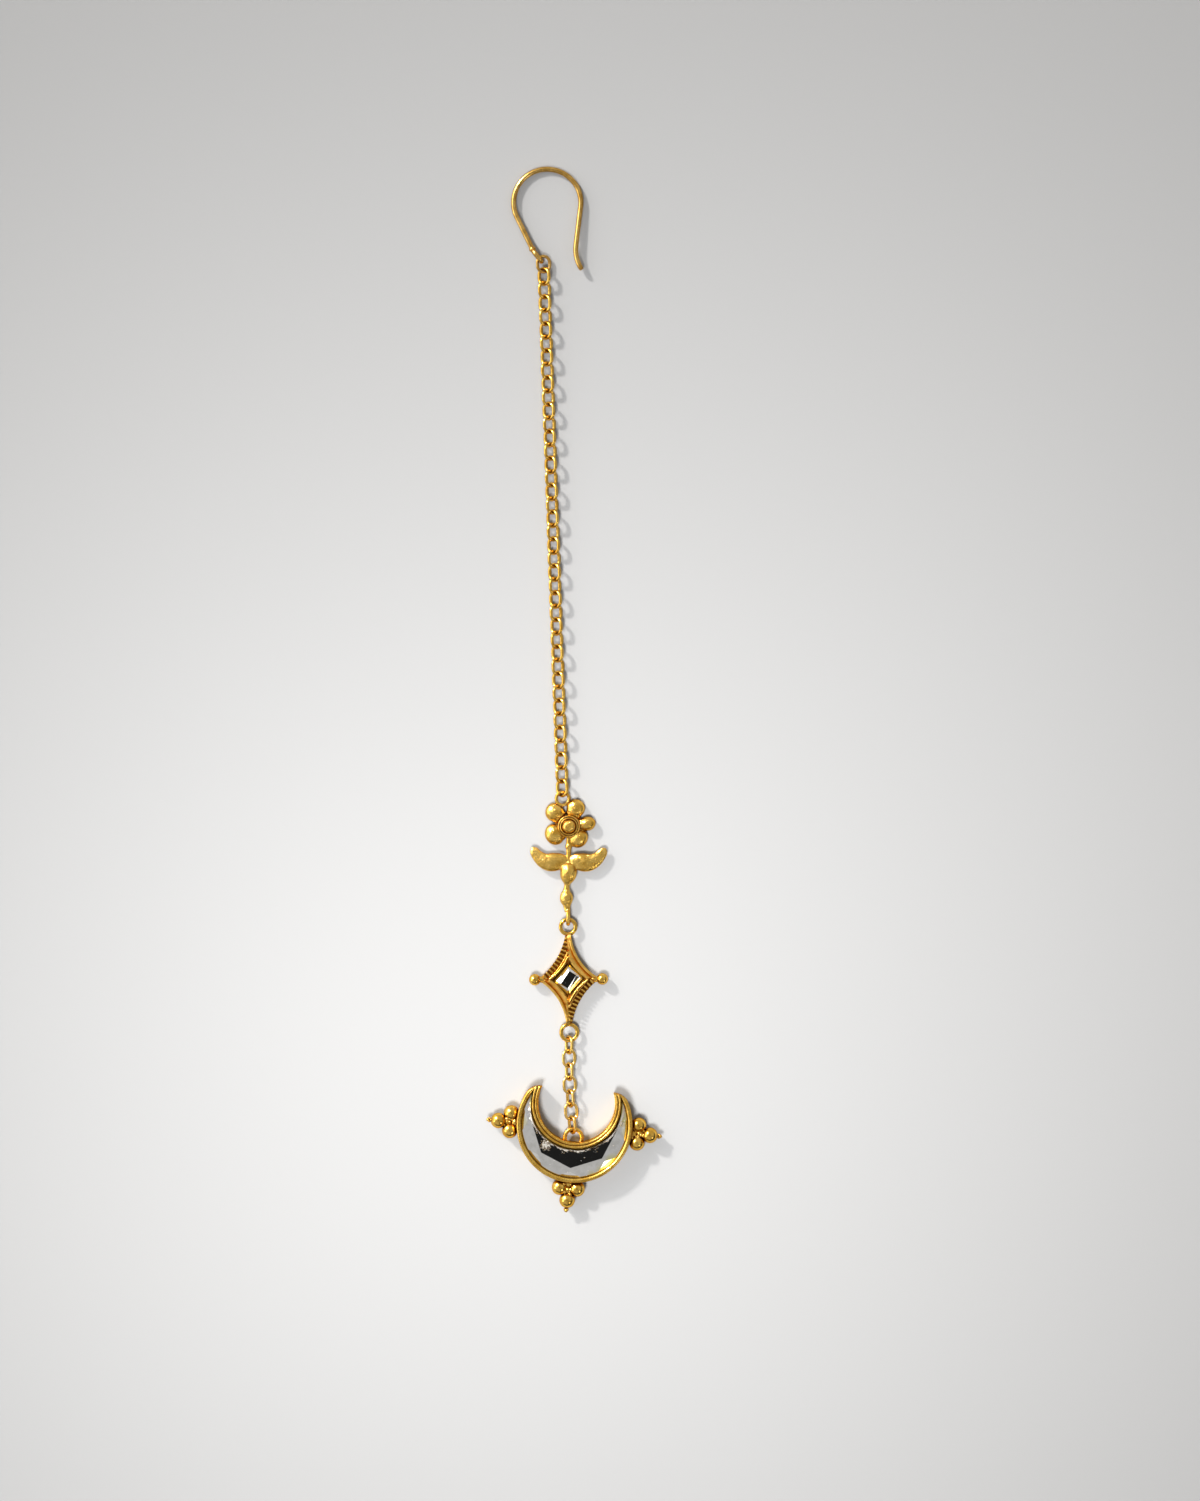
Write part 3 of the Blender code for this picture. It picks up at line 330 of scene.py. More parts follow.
def rim_lines(step=2.0, horn_steps=18):
    """The tray's outer edge and, point for point, the edge of its recess."""
    recess_out, recess_in = CRESCENT_RADIUS - OUTER_RIM, HOLLOW_RADIUS + INNER_RIM
    tip = crossing(HOLLOW_CENTER, HOLLOW_RADIUS, HORN_CENTER, HORN_RADIUS)
    recess_tip = crossing(HOLLOW_CENTER, recess_in, OUTER_CENTER, recess_out)
    count = round((HORN_ANGLE + 90.0) / step)
    edge = arc(OUTER_CENTER, CRESCENT_RADIUS, -90.0, HORN_ANGLE, count)
    edge += arc(HORN_CENTER, HORN_RADIUS, HORN_ANGLE, angle_at(HORN_CENTER, tip), horn_steps)
    recess = arc(OUTER_CENTER, recess_out, -90.0, HORN_ANGLE, count)
    last = angle_at(OUTER_CENTER, recess_tip)
    for i in range(horn_steps):
        angle = mix(HORN_ANGLE, last, min(1.0, 2 * i / horn_steps))
        recess.append(polar(OUTER_CENTER, recess_out, angle))
    start, last = angle_at(HOLLOW_CENTER, tip), angle_at(HOLLOW_CENTER, recess_tip)
    count = round((start + 90.0) / step)
    for i in range(count + 1):
        angle = mix(start, -90.0, i / count)
        edge.append(polar(HOLLOW_CENTER, HOLLOW_RADIUS, angle))
        recess.append(polar(HOLLOW_CENTER, recess_in, min(angle, last)))
    return mirrored(edge), mirrored(recess)


def half_round(distance, middle, radius, depth):
    """How far below its crest a half-round ridge lies at this distance, at most its depth."""
    off = min(1.0, abs(distance - middle) / radius)
    return depth * (1.0 - sqrt(1.0 - off * off))


def rim_height(point):
    """The top of the rim, from how far the point is from the tray's edges."""
    from_hollow = (point - HOLLOW_CENTER).length - HOLLOW_RADIUS
    from_outside = CRESCENT_RADIUS - (point - OUTER_CENTER).length
    mirror_point = Vector((abs(point.x), point.y))
    edge = min(from_hollow, from_outside)
    if angle_at(OUTER_CENTER, mirror_point) > HORN_ANGLE:
        edge = min(from_hollow, HORN_RADIUS - (mirror_point - HORN_CENTER).length)
    rounded = max(0.0, RIM_ROUNDING - max(0.0, edge))
    height = CRESCENT_HEIGHT - RIM_ROUNDING + sqrt(max(0.0, RIM_ROUNDING**2 - rounded**2))
    if 0.0 < from_outside < OUTER_RIM + ROUNDING_SLACK:
        height -= half_round(from_outside, 0.44 * OUTER_RIM, 0.57 * OUTER_RIM, RIM_FALL)
    if from_hollow < INNER_RIM + ROUNDING_SLACK:
        ledge = INNER_RIM - RAIL_WIRE
        if from_hollow < ledge:
            height -= half_round(from_hollow, 0.45 * ledge, 0.55 * ledge, LEDGE_SAG)
        else:
            rail_top = CRESCENT_HEIGHT + RAIL_PROUD
            fall = half_round(from_hollow, INNER_RIM - RAIL_WIRE / 2, RAIL_WIRE / 2, RAIL_WIRE / 2)
            height = rail_top - fall
    return height


def add_tray(bm, across=30):
    edge, recess = rim_lines()
    rows = []
    for height, share in ((0.0, FOOT_SHARE), (FOOT_HEIGHT, 1.0), (CRESCENT_HEIGHT - RIM_ROUNDING, 1.0)):
        rows.append([(*OUTER_CENTER.lerp(point, share), height) for point in edge])
    for i in range(1, across + 1):
        points = [outer.lerp(inner, i / across) for outer, inner in zip(edge, recess)]
        rows.append([(*point, rim_height(point)) for point in points])
    for height in (WALL_TOP, CRESCENT_FLOOR):
        rows.append([(*point, height) for point in recess])
    skin(bm, rows)


def add_cluster(bm, root, angle, settle):
    """Three beads in a triangle on the rim, the knob at the tip and the granules of solder between."""
    out = polar((0, 0), 1.0, angle)
    across = out.orthogonal()
    rim = root + out * CRESCENT_RADIUS
    half = CLUSTER_SPREAD / 2
    outer_bead = CLUSTER_STAND_OFF + sqrt((CLUSTER_BEAD - CLUSTER_BITE) ** 2 - half**2)
    grain = outer_bead + CLUSTER_BEAD / 2 + TIP_NECK_LENGTH + TIP_GRAIN / 2
    middle = CRESCENT_HEIGHT / 2
    for reach, side in ((CLUSTER_STAND_OFF, -half), (CLUSTER_STAND_OFF, half), (outer_bead, 0.0)):
        ball(bm, (*(rim + out * reach + across * side), middle), CLUSTER_BEAD)
    ball(bm, (*(rim + out * grain), middle), TIP_GRAIN, 20, 12)
    for side in KNOB_PLACES:
        knob = rim + out * (grain - 0.3 * TIP_GRAIN) + across * side * TIP_GRAIN
        ball(bm, (*knob, middle + 0.2 * TIP_GRAIN), KNOB * TIP_GRAIN, 16, 10)
    collar = [rim + out * (outer_bead + CLUSTER_BEAD * reach) for reach, _ in TIP_COLLAR]
    radii = [TIP_NECK / 2 * width for _, width in TIP_COLLAR]
    tube(bm, [(*point, middle) for point in collar], radii, sides=20)
    for reach, width in SOLDER_PLACES:
        ball(bm, (*(rim + out * (reach * outer_bead)), middle), SOLDER_LUMP * width, 24, 14)
    for _ in range(GRANULES):
        reach = settle.uniform(GRANULES_FROM, GRANULES_TO * outer_bead)
        spread = half * (1.0 - 0.9 * max(0.0, reach) / outer_bead)
        granule = rim + out * reach + across * settle.uniform(-spread, spread)
        height = middle + settle.uniform(*GRANULE_RISE)
        ball(bm, (*granule, height), GRANULE * settle.uniform(*GRANULE_SHARES), 14, 8)


def add_crescent():
    bm = bmesh.new()
    add_tray(bm)
    ring(bm, CRESCENT_LOOP, CRESCENT_LOOP_WIRE, moved(0.0, CRESCENT_LOOP_PLACE, HANG_HEIGHT))
    bmesh.ops.remove_doubles(bm, verts=bm.verts, dist=0.0001)
    placed = seat((0, 0), CRESCENT_LEAN)
    metal = gold("crescent_gold", GOLD, DEEP_GOLD, 0.23, 0.14, 0.008)
    show("crescent_tray", bm, placed, metal, "crescent_setting")

    bm = bmesh.new()
    settle = random.Random(5)
    side_root = OUTER_CENTER - Vector((0.0, SIDE_CLUSTER_DROP))
    for root, angle in ((OUTER_CENTER, -90), (side_root, 0), (side_root, 180)):
        add_cluster(bm, root, angle, settle)
    polished = gold("bead_gold", GOLD, DEEP_GOLD, 0.17, 0.32, 0.008, 0.08)
    show("crescent_beads", bm, placed, polished, "crescent_setting", sharp=60.0)


add_crescent()

# The crescent's glass is cut flat on top, with two tiers of slanting sides and a bevelled hollow.
# A silver foil lies behind it, so it mirrors like dark water, and the foil has come up in bright
# flakes along the inner rim and in a few specks. A yellow reflection of the gold is painted on the
# flakes next to the rim and in soft patches of the foil.
GLASS_GAP = 0.07
TABLE_RADIUS = 6.26
TABLE_HEIGHT = 2.80
GIRDLE_HEIGHT = 2.36
INNER_BEVEL = 0.28
TIER_RADIUS = 6.80
TIER_SLOPE = 23.5
SIDES = 8
SILVER = (0.90, 0.88, 0.85, 1.0)
CLOUDED_SILVER = (0.78, 0.76, 0.72, 1.0)
FLAKE = (0.90, 0.86, 0.78, 1.0)
# Foil flakes next to the rim, tinted with a painted reflection of the gold rail
RIM_FLAKE_GOLD_REFLECTION = (0.62, 0.56, 0.16, 1.0)
# The yellow painted on the foil as a reflection of the tray's gold wall
PAINTED_GOLD_REFLECTION = (0.84, 0.78, 0.40, 1.0)
CRUMPLE_WIDTH = 0.12
CRUMPLE_DEPTH = 0.04
RAGGED_WIDTH = 0.24
DRIFT_WIDTH = 1.6
SPECKS = 1.5
STAR_SPECKS = 2.2


def listed(columns, *rows):
    """A table: each row's numbers by the names of their columns."""
    return [dict(zip(columns.split(), row)) for row in rows]


# Where a reflection of the gold wall is painted on the foil, and where the foil has come up besides the
# rim, seen from above
GOLD_REFLECTION_PATCHES = listed(
    "across up size",
    (6.10, 0.10, 1.10),
    (4.60, -1.20, 0.95),
    (3.10, -1.95, 0.70),
    (8.10, 6.10, 1.25),
    (8.25, 4.40, 0.85),
    (-7.25, 6.10, 0.85),
)
FLAKE_PATCHES = listed(
    "across up size",
    (-3.60, 2.55, 0.88),
    (-4.65, 4.60, 0.48),
    (-1.17, 1.65, 0.30),
    (3.57, 2.03, 0.30),
    (-5.50, 7.20, 0.60),
    (-5.85, 8.10, 0.40),
    (7.35, 5.64, 0.62),
    (7.75, 6.60, 0.40),
)


def applied(obj):
    """The mesh that an object's modifiers make."""
    graph = bpy.context.evaluated_depsgraph_get()
    mesh = bpy.data.meshes.new_from_object(obj.evaluated_get(graph))
    bpy.data.objects.remove(obj, do_unlink=True)
    return mesh


def cutter(name, center, low_radius, high_radius, low, high, segments, turn=0.0):
    """A cone or cylinder for a boolean, between two heights."""
    bm = bmesh.new()
    bmesh.ops.create_cone(
        bm, cap_ends=True, segments=segments, radius1=low_radius, radius2=high_radius,
        depth=high - low, matrix=moved(*center, (low + high) / 2) @ turned(turn),
    )
    return added(name, mesh_of(name, bm))


def joined(tree, first, second, operation="MULTIPLY"):
    return node(tree, "ShaderNodeMath", {0: first, 1: second}, operation=operation).outputs[0]


def foiled_glass(name, flakes):
    """Glass over a silver foil: a clear mirror, broken where flakes says, and with a painted reflection
    of gold where it says.
    """
    material = new_material(name, Metallic=1.0, Coat_Weight=0.6, Coat_Roughness=0.02)
    tree = material.node_tree
    place = millimetres(tree)
    broken, bare, gold_reflection = flakes(tree, place)
    clouds = ramped(tree, noise(tree, place, 1.1, 4.0, 0.6), 0.3, 0.7)
    # Painted reflection: the silver turns yellow where a reflection of the gold is painted
    silver = blended(tree, gold_reflection, blended(tree, clouds, SILVER, CLOUDED_SILVER), PAINTED_GOLD_REFLECTION)
    rough = ramped(tree, broken, 0.0, 1.0, 0.035, 0.45)
    crumple = joined(tree, noise(tree, place, CRUMPLE_WIDTH, 2.0), broken)
    feed(tree, blended(tree, broken, silver, bare), rough, crumple, CRUMPLE_DEPTH)
    return material


def distance_from(tree, place, point):
    """How far a place is from a point of the ornament, seen from above."""
    flat = node(tree, "ShaderNodeVectorMath", {0: place, 1: (1, 1, 0)}, operation="MULTIPLY").outputs[0]
    apart = {0: flat, 1: (*point, 0.0)}
    return node(tree, "ShaderNodeVectorMath", apart, operation="DISTANCE").outputs[1]


def patches_of(tree, place, rows, ragged, edge):
    """A share that is 1 inside the rows' ragged patches and falls to 0 over their edge."""
    share = 0.0
    for row in rows:
        apart = distance_from(tree, place, (row["across"], row["up"]))
        near = joined(tree, apart, ragged, "SUBTRACT")
        patch = ramped(tree, near, row["size"] - edge, row["size"], 1.0, 0.0)
        share = joined(tree, share, patch, "MAXIMUM")
    return share


def speckled(tree, place, often):
    """How far a place is from the nearest speck, of which there are so many in a millimetre."""
    return node(tree, "ShaderNodeTexVoronoi", {"Vector": place, "Scale": often}).outputs[0]


def crescent_flakes(tree, place):
    """Where the foil has come up, ragged along the rim and in patches; its colour, with a painted gold
    reflection near the rim; and patches of painted gold reflection.
    """
    far = distance_from(tree, place, turned(CRESCENT_LEAN, 2) @ HOLLOW_CENTER)
    ragged = noise(tree, place, RAGGED_WIDTH, 5.0, 0.85)
    broad = noise(tree, place, DRIFT_WIDTH, 2.0)
    reach = joined(tree, joined(tree, ragged, 1.1), joined(tree, broad, 1.3), "ADD")
    edge = HOLLOW_RADIUS + INNER_RIM
    wander = joined(tree, far, reach, "SUBTRACT")
    broken = ramped(tree, wander, edge - 0.80, edge - 0.74, 1.0, 0.0)
    torn = joined(tree, joined(tree, ragged, 0.60, "SUBTRACT"), 3.6)
    broken = joined(tree, broken, patches_of(tree, place, FLAKE_PATCHES, torn, 0.06), "MAXIMUM")
    specks = ramped(tree, speckled(tree, place, SPECKS), 0.04, 0.07, 1.0, 0.0)
    broken = joined(tree, broken, specks, "MAXIMUM")
    # Flakes next to the rim take a painted reflection of the gold
    from_rim = ramped(tree, far, edge + 0.18, edge + 0.34)
    # Painted reflection of the tray's gold wall, in soft patches
    gold_reflection = patches_of(tree, place, GOLD_REFLECTION_PATCHES, joined(tree, broad, 0.8), 1.1)
    return broken, blended(tree, from_rim, RIM_FLAKE_GOLD_REFLECTION, FLAKE), gold_reflection


def add_crescent_glass():
    outer = CRESCENT_RADIUS - OUTER_RIM - GLASS_GAP
    inner = HOLLOW_RADIUS + INNER_RIM + GLASS_GAP
    bottom = CRESCENT_FLOOR + GLASS_GAP
    outline = lens_outline(outer, inner)
    bm = bmesh.new()
    skin(bm, [[(*point, height) for point in outline] for height in (bottom, TABLE_HEIGHT)])
    stone = added("crescent_glass", mesh_of("crescent_glass", bm))
    drop = TABLE_HEIGHT - GIRDLE_HEIGHT
    flatness = cos(pi / SIDES)
    slope = (outer / flatness - TABLE_RADIUS) / drop
    crown = cutter("crown", OUTER_CENTER, TABLE_RADIUS + slope * 4 * drop, TABLE_RADIUS,
                   TABLE_HEIGHT - 4 * drop, TABLE_HEIGHT, SIDES)
    bevel = cutter("bevel", HOLLOW_CENTER, inner - INNER_BEVEL, inner + 2 * INNER_BEVEL,
                   GIRDLE_HEIGHT - drop, TABLE_HEIGHT + drop, 90)
    tier_height = TABLE_HEIGHT - (TIER_RADIUS - TABLE_RADIUS) / slope
    spread = 2 * drop / tan(radians(TIER_SLOPE))
    low_radius, high_radius = (TIER_RADIUS + spread) / flatness, (TIER_RADIUS - spread) / flatness
    tier = cutter("tier", OUTER_CENTER, low_radius, high_radius,
                  tier_height - 2 * drop, tier_height + 2 * drop, SIDES, 180.0 / SIDES)
    for tool, operation in ((crown, "INTERSECT"), (tier, "INTERSECT"), (bevel, "DIFFERENCE")):
        cut = stone.modifiers.new(tool.name, "BOOLEAN")
        cut.operation = operation
        cut.object = tool
    mesh = applied(stone)
    for tool in (crown, tier, bevel):
        bpy.data.objects.remove(tool, do_unlink=True)
    glass = foiled_glass("crescent_foil", crescent_flakes)
    show("crescent_glass", mesh, seat((0, 0), CRESCENT_LEAN), glass,
         "crescent_stone", sharp=3.0)


add_crescent_glass()

# The short chain is seven loose oval links of drawn wire between the crescent and the star, closed
# without solder. They stand steep and lie flat by turns, as they settle on a table.
SHORT_LINKS = 7
SHORT_FIRST_LEAN = 5.0
SHORT_LAST_LEAN = -0.6
SHORT_FLAT_ROLL = -20.0
LINK_CLEARANCE = 0.07
LINK_FULLNESS = 1.12
BRIGHT_GOLD = (0.93, 0.65, 0.20, 1.0)


def oval(bm, length, width, wire, placed, fullness=1.0, sides=16, steps=18):
    """An oval link that is long in Y, whose wire may be fuller than its size."""
    radius, reach = (width - wire) / 2, (length - width) / 2
    line = [polar((0, reach), radius, 180 * i / steps) for i in range(steps + 1)]
    line += [polar((0, -reach), radius, 180 + 180 * i / steps) for i in range(steps + 1)]
    tube(bm, line, fullness * wire / 2, True, sides=sides, turn=placed)


def roll_by(roll):
    return turned(-roll, axis="Y")


def add_short_chain():
    """The links, and the place where the star's lower ring begins."""
    metal = gold("short_chain_gold", BRIGHT_GOLD, GOLD, 0.14, 0.08, 0.002)
    inner_half = SHORT_LINK_LENGTH / 2 - SHORT_LINK_WIRE
    loop = heading(CRESCENT_LEAN) * CRESCENT_LOOP_PLACE
    loop_reach = CRESCENT_LOOP / 2 - CRESCENT_LOOP_WIRE
    place = loop + heading(SHORT_FIRST_LEAN) * (loop_reach - LINK_CLEARANCE)
    place.z = HANG_HEIGHT + (LINK_FULLNESS - 1.0) * SHORT_LINK_WIRE / 2
    for number in range(1, SHORT_LINKS + 1):
        lean = mix(SHORT_FIRST_LEAN, SHORT_LAST_LEAN, (number - 1) / (SHORT_LINKS - 1))
        middle = place + heading(lean) * inner_half
        bm = bmesh.new()
        placed = roll_by(STEEP_ROLL if number % 2 else SHORT_FLAT_ROLL)
        oval(bm, SHORT_LINK_LENGTH, SHORT_LINK_WIDTH, SHORT_LINK_WIRE, placed, LINK_FULLNESS)
        show("short_link_%d" % number, bm, seat(middle, lean), metal,
             "short_chain_link_%d" % number)
        place = middle + heading(lean) * (inner_half - LINK_CLEARANCE)
    return place


short_chain_end = add_short_chain()

# The star is a cast frame with four hollow sides, brushed to a satin. Two of its sides carry a
# strip of milled bars over a sunk bed darkened with painted shade, beside a wire. Rings are soldered
# to its two ends and bulbs to its side points, and the glass sits in the recess in its middle.
STAR_LEAN = 0.65
STAR_HALF_HEIGHT = 6.45
STAR_HALF_WIDTH = 4.00
MILLED_SAGITTA = 0.64
PLAIN_SAGITTA = 0.80
END_TIP = 0.80
SIDE_TIP = 0.70
STAR_FLOOR = 1.05
RECESS_HALF_HEIGHT = 3.13
RECESS_HALF_WIDTH = 2.63
RECESS_SAGITTA = 0.30
RECESS_TIP = 0.12
STAR_TOP_RING = 2.70
STAR_BOTTOM_RING = 2.90
STAR_RING_WIRE = 0.56
SOLDER_BITE = 0.20
BULB = 1.67
BULB_REACH = 4.89
BULB_NECK = 0.75
NECK_ROOT = 0.60
NECK_SWELL = 0.60
BULB_HEIGHT = 1.10
MILLED_BARS = 12
BAR_WIRE = 0.34
BAR_LENGTH = 0.84
BAR_INSET = 0.42
BAR_HEIGHT = 1.60
BAR_END = 0.28
BAR_END_INSET = 0.12
STRIP_MARGIN = 0.45
PLAIN_RIM = 0.42
PLAIN_RIM_TOP = 1.66
PLAIN_GROOVE = 1.38
MILLED_FLOOR = 0.86
MILLED_WIRE = 0.22
MILLED_WIRE_PLACE = 1.00
MILLED_WIRE_TOP = 1.80
MILLED_GROOVE = 1.46
RECESS_WIRE = 0.22
RECESS_WIRE_TOP = 2.13
SLOPE_TOP = 1.96
SLOPE_FOOT = 1.32
# The stone's length, width and cut corner, and how it is turned
STONE = (3.33, 2.83, 0.30, 48.0)
STONE_ROOM = 0.10
SATIN_GOLD = (0.92, 0.59, 0.14, 1.0)
SATIN_SHADE = (0.68, 0.37, 0.05, 1.0)
# A warmer colour painted as shade in the star's grooves, hollows and the gaps between its bars
STAR_PAINTED_SHADE = (0.68, 0.32, 0.022, 1.0)
STAR_CENTER_RISE = STAR_HALF_HEIGHT + STAR_BOTTOM_RING / 2 - SOLDER_BITE
STAR_TOP_RING_RISE = STAR_HALF_HEIGHT + STAR_TOP_RING / 2 - SOLDER_BITE


def hollow_side(start, end, sagitta, steps=44):
    """Points from one tip to the next along a side that bows in by the sagitta."""
    chord = end - start
    inward = chord.orthogonal().normalized()
    shares = [i / steps for i in range(steps)]
    return [start + chord * share + inward * (4 * sagitta * share * (1 - share)) for share in shares]


def star_sides(half_width, half_height, plain, milled, side_tip, end_tip):
    """The ends and the sagitta of the four hollow sides, counter-clockwise from the upper right."""
    side, end = side_tip / 2, end_tip / 2
    upper = (
        (Vector((half_width, side)), Vector((end, half_height)), plain),
        (Vector((-end, half_height)), Vector((-half_width, side)), milled),
    )
    return [(way * start, way * stop, sagitta) for way in (1, -1) for start, stop, sagitta in upper]


def from_line(points):
    """Finds how far a place is from a line of points."""
    finder = KDTree(len(points))
    for i, point in enumerate(points):
        finder.insert(point.to_3d(), i)
    finder.balance()
    return lambda place: finder.find(place.to_3d())[2]


def ridge(distance, middle, width, top):
    """The height of a half-round ridge at this distance from its side, or 0 beside it."""
    off = abs(distance - middle) / (width / 2)
    return top - width / 2 * (1.0 - sqrt(1.0 - off * off)) if off < 1.0 else 0.0


def slope_between(edge, recess, start, low):
    """A plane that rises from its start near the edge to the wire round the recess."""
    run = max(0.01, edge + recess - start - RECESS_WIRE)
    return mix(low, SLOPE_TOP, min(1.0, max(0.0, edge - start) / run))


def plain_height(edge, recess):
    """A rounded rim, a groove, and a satin slope up to the wire round the recess."""
    rim = ridge(edge, PLAIN_RIM / 2, PLAIN_RIM, PLAIN_RIM_TOP)
    return max(rim, slope_between(edge, recess, PLAIN_RIM, PLAIN_GROOVE))


def milled_height(edge, recess):
    """A sunk bed for the bars, a bright wire, and a channel up to the wire round the recess."""
    low = MILLED_FLOOR
    if edge > MILLED_WIRE_PLACE:
        low = slope_between(edge, recess, MILLED_WIRE_PLACE + MILLED_WIRE / 2, MILLED_GROOVE)
    return max(low, ridge(edge, MILLED_WIRE_PLACE, MILLED_WIRE, MILLED_WIRE_TOP))


def beside_stone(point):
    """The point, or the place on the way to the middle where the stone's side comes first."""
    to_stone = turned(-STONE[3], 2) @ point
    side = min(STONE[0] / 2 / max(0.01, abs(to_stone.x)), STONE[1] / 2 / max(0.01, abs(to_stone.y)))
    return point * min(1.0, side + STONE_ROOM / point.length)


def star_frame_rows(across=46):
    """Rings of points from the frame's back, over its face, to the floor of its recess."""
    outer_sides = star_sides(
        STAR_HALF_WIDTH, STAR_HALF_HEIGHT, PLAIN_SAGITTA, MILLED_SAGITTA, SIDE_TIP, END_TIP
    )
    recess_sides = star_sides(
        RECESS_HALF_WIDTH, RECESS_HALF_HEIGHT, RECESS_SAGITTA, RECESS_SAGITTA, RECESS_TIP, RECESS_TIP
    )
    columns = []
    for number, (outer, recess) in enumerate(zip(outer_sides, recess_sides)):
        from_edge = from_line(hollow_side(*outer, steps=400))
        from_recess = from_line(hollow_side(*recess, steps=400))
        height = milled_height if number % 2 else plain_height
        outer_line = hollow_side(*outer) + [outer[1]]
        recess_line = hollow_side(*recess) + [recess[1]]
        for start, stop in zip(outer_line, recess_line):
            column = [(*start.lerp(stop, 0.05), 0.0), (*start, 0.10), (*start, MILLED_FLOOR - 0.10)]
            for i in range(across + 1):
                point = start.lerp(stop, i / across)
                away = from_edge(point), from_recess(point)
                wire = ridge(away[1], RECESS_WIRE / 2, RECESS_WIRE, RECESS_WIRE_TOP)
                column.append((*point, max(wire, height(*away))))
            inner = beside_stone(stop)
            columns.append(column + [(*inner, SLOPE_FOOT), (*inner, STAR_FLOOR)])
    return list(zip(*columns))


def add_milled_strip(bm, start, end):
    """A row of short round-topped bars across one hollow side, whose outer ends stand up a little."""
    chord = end - start
    inward = chord.orthogonal().normalized()
    margin = STRIP_MARGIN / chord.length
    for i in range(MILLED_BARS):
        share = mix(margin, 1 - margin, i / (MILLED_BARS - 1))
        bow = 4 * MILLED_SAGITTA * share * (1 - share)
        slope = 4 * MILLED_SAGITTA * (1 - 2 * share)
        along = (chord + inward * slope).normalized()
        across = along.orthogonal()
        edge = start + chord * share + inward * bow
        room = min(abs(edge.x / across.x), abs(edge.y / across.y))
        length = min(BAR_LENGTH, room)
        line, radii = [], []
        for k in range(9):
            angle = pi * k / 8
            reach = BAR_INSET - BAR_LENGTH / 2 + length * (1 - cos(angle)) / 2
            line.append((*(edge + across * reach), BAR_HEIGHT))
            radii.append(BAR_WIRE / 2 * (0.12 + 0.88 * sin(angle) ** 0.45))
        tube(bm, line, radii, sides=12)
        ball(bm, (*(edge + across * BAR_END_INSET), BAR_HEIGHT), BAR_END, 16, 10)


def paint_bed_shade(material):
    """The sunk bed of the bars, which faces up below the rest of the frame, gets painted shade."""
    tree = material.node_tree
    color = tree.nodes["Principled BSDF"].inputs["Base Color"]
    facing = node(tree, "ShaderNodeNewGeometry").outputs["Normal"]
    upward = ramped(tree, node(tree, "ShaderNodeSeparateXYZ", {0: facing}).outputs[2], 0.2, 0.7)
    height = node(tree, "ShaderNodeSeparateXYZ", {0: millimetres(tree)}).outputs[2]
    low = ramped(tree, height, MILLED_FLOOR + 0.12, STAR_FLOOR + 0.12, 1.0, 0.0)
    # Painted shade: low faces of the bed that look up take the shade colour
    dark = joined(tree, low, upward)
    tree.links.new(blended(tree, dark, color.links[0].from_socket, PAINTED_SHADE), color)


def add_star():
    center = short_chain_end + heading(SHORT_LAST_LEAN) * (STAR_BOTTOM_RING / 2 - STAR_RING_WIRE)
    center += heading(STAR_LEAN) * STAR_CENTER_RISE
    center.z = 0.0
    placed = seat(center, STAR_LEAN)
    bm = bmesh.new()
    skin(bm, star_frame_rows())
    satin = gold("star_gold", SATIN_GOLD, SATIN_SHADE, 0.29, 0.09, 0.010, 0.12, 0.0, STAR_PAINTED_SHADE)
    paint_bed_shade(satin)
    show("star_frame", bm, placed, satin, "star_setting", sharp=50.0)

    bm = bmesh.new()
    top = Vector((-END_TIP / 2, STAR_HALF_HEIGHT))
    left = Vector((-STAR_HALF_WIDTH, SIDE_TIP / 2))
    add_milled_strip(bm, top, left)
    add_milled_strip(bm, -top, -left)
    for diameter, rise in ((STAR_BOTTOM_RING, -STAR_CENTER_RISE), (STAR_TOP_RING, STAR_TOP_RING_RISE)):
        ring(bm, diameter, STAR_RING_WIRE, moved(0.0, rise, HANG_HEIGHT))
    for side in (-1, 1):
        ball(bm, (side * BULB_REACH, 0.0, BULB_HEIGHT), BULB)
        shares = [i / 12 for i in range(13)]
        neck = [mix(STAR_HALF_WIDTH - BULB / 2, BULB_REACH, share) for share in shares]
        radii = [BULB_NECK / 2 * (NECK_ROOT + NECK_SWELL * sin(pi * share) ** 0.6) for share in shares]
        tube(bm, [(side * reach, 0.0, BULB_HEIGHT) for reach in neck], radii)
    bright = gold("star_ring_gold", GOLD, DEEP_GOLD, 0.12, 0.20, 0.004, 0.08, 0.0, STAR_PAINTED_SHADE)
    show("star_rings", bm, placed, bright, "star_setting", sharp=50.0)
    return center


star_center = add_star()

# The star's stone is the same foil-backed glass, a rectangle with cut corners that is stepped up
# to a narrower table. It was set at a slant, by hand, and its edges are a little softened.
STONE_TABLE = (2.24, 1.20, 0.06, 56.0)
STONE_BACK_SHARE = 0.78
STONE_GIRDLE = 0.45
STONE_STEP_RISE = 0.30
STONE_TABLE_RISE = 0.18


def stone_outline(size, height):
    """A rectangle with cut corners, from its length, width, corner and turn."""
    x, y, cut = size[0] / 2, size[1] / 2, size[2]
    quarter = [(x, -y + cut), (x, y - cut), (x - cut, y), (-x + cut, y)]
    corners = quarter + [(-px, -py) for px, py in quarter]
    return [turned(size[3], 3) @ Vector((*corner, height)) for corner in corners]


def star_flakes(tree, place):
    """A few specks in the star's foil, and their colour."""
    return ramped(tree, speckled(tree, place, STAR_SPECKS), 0.03, 0.07, 0.8, 0.0), FLAKE, 0.0


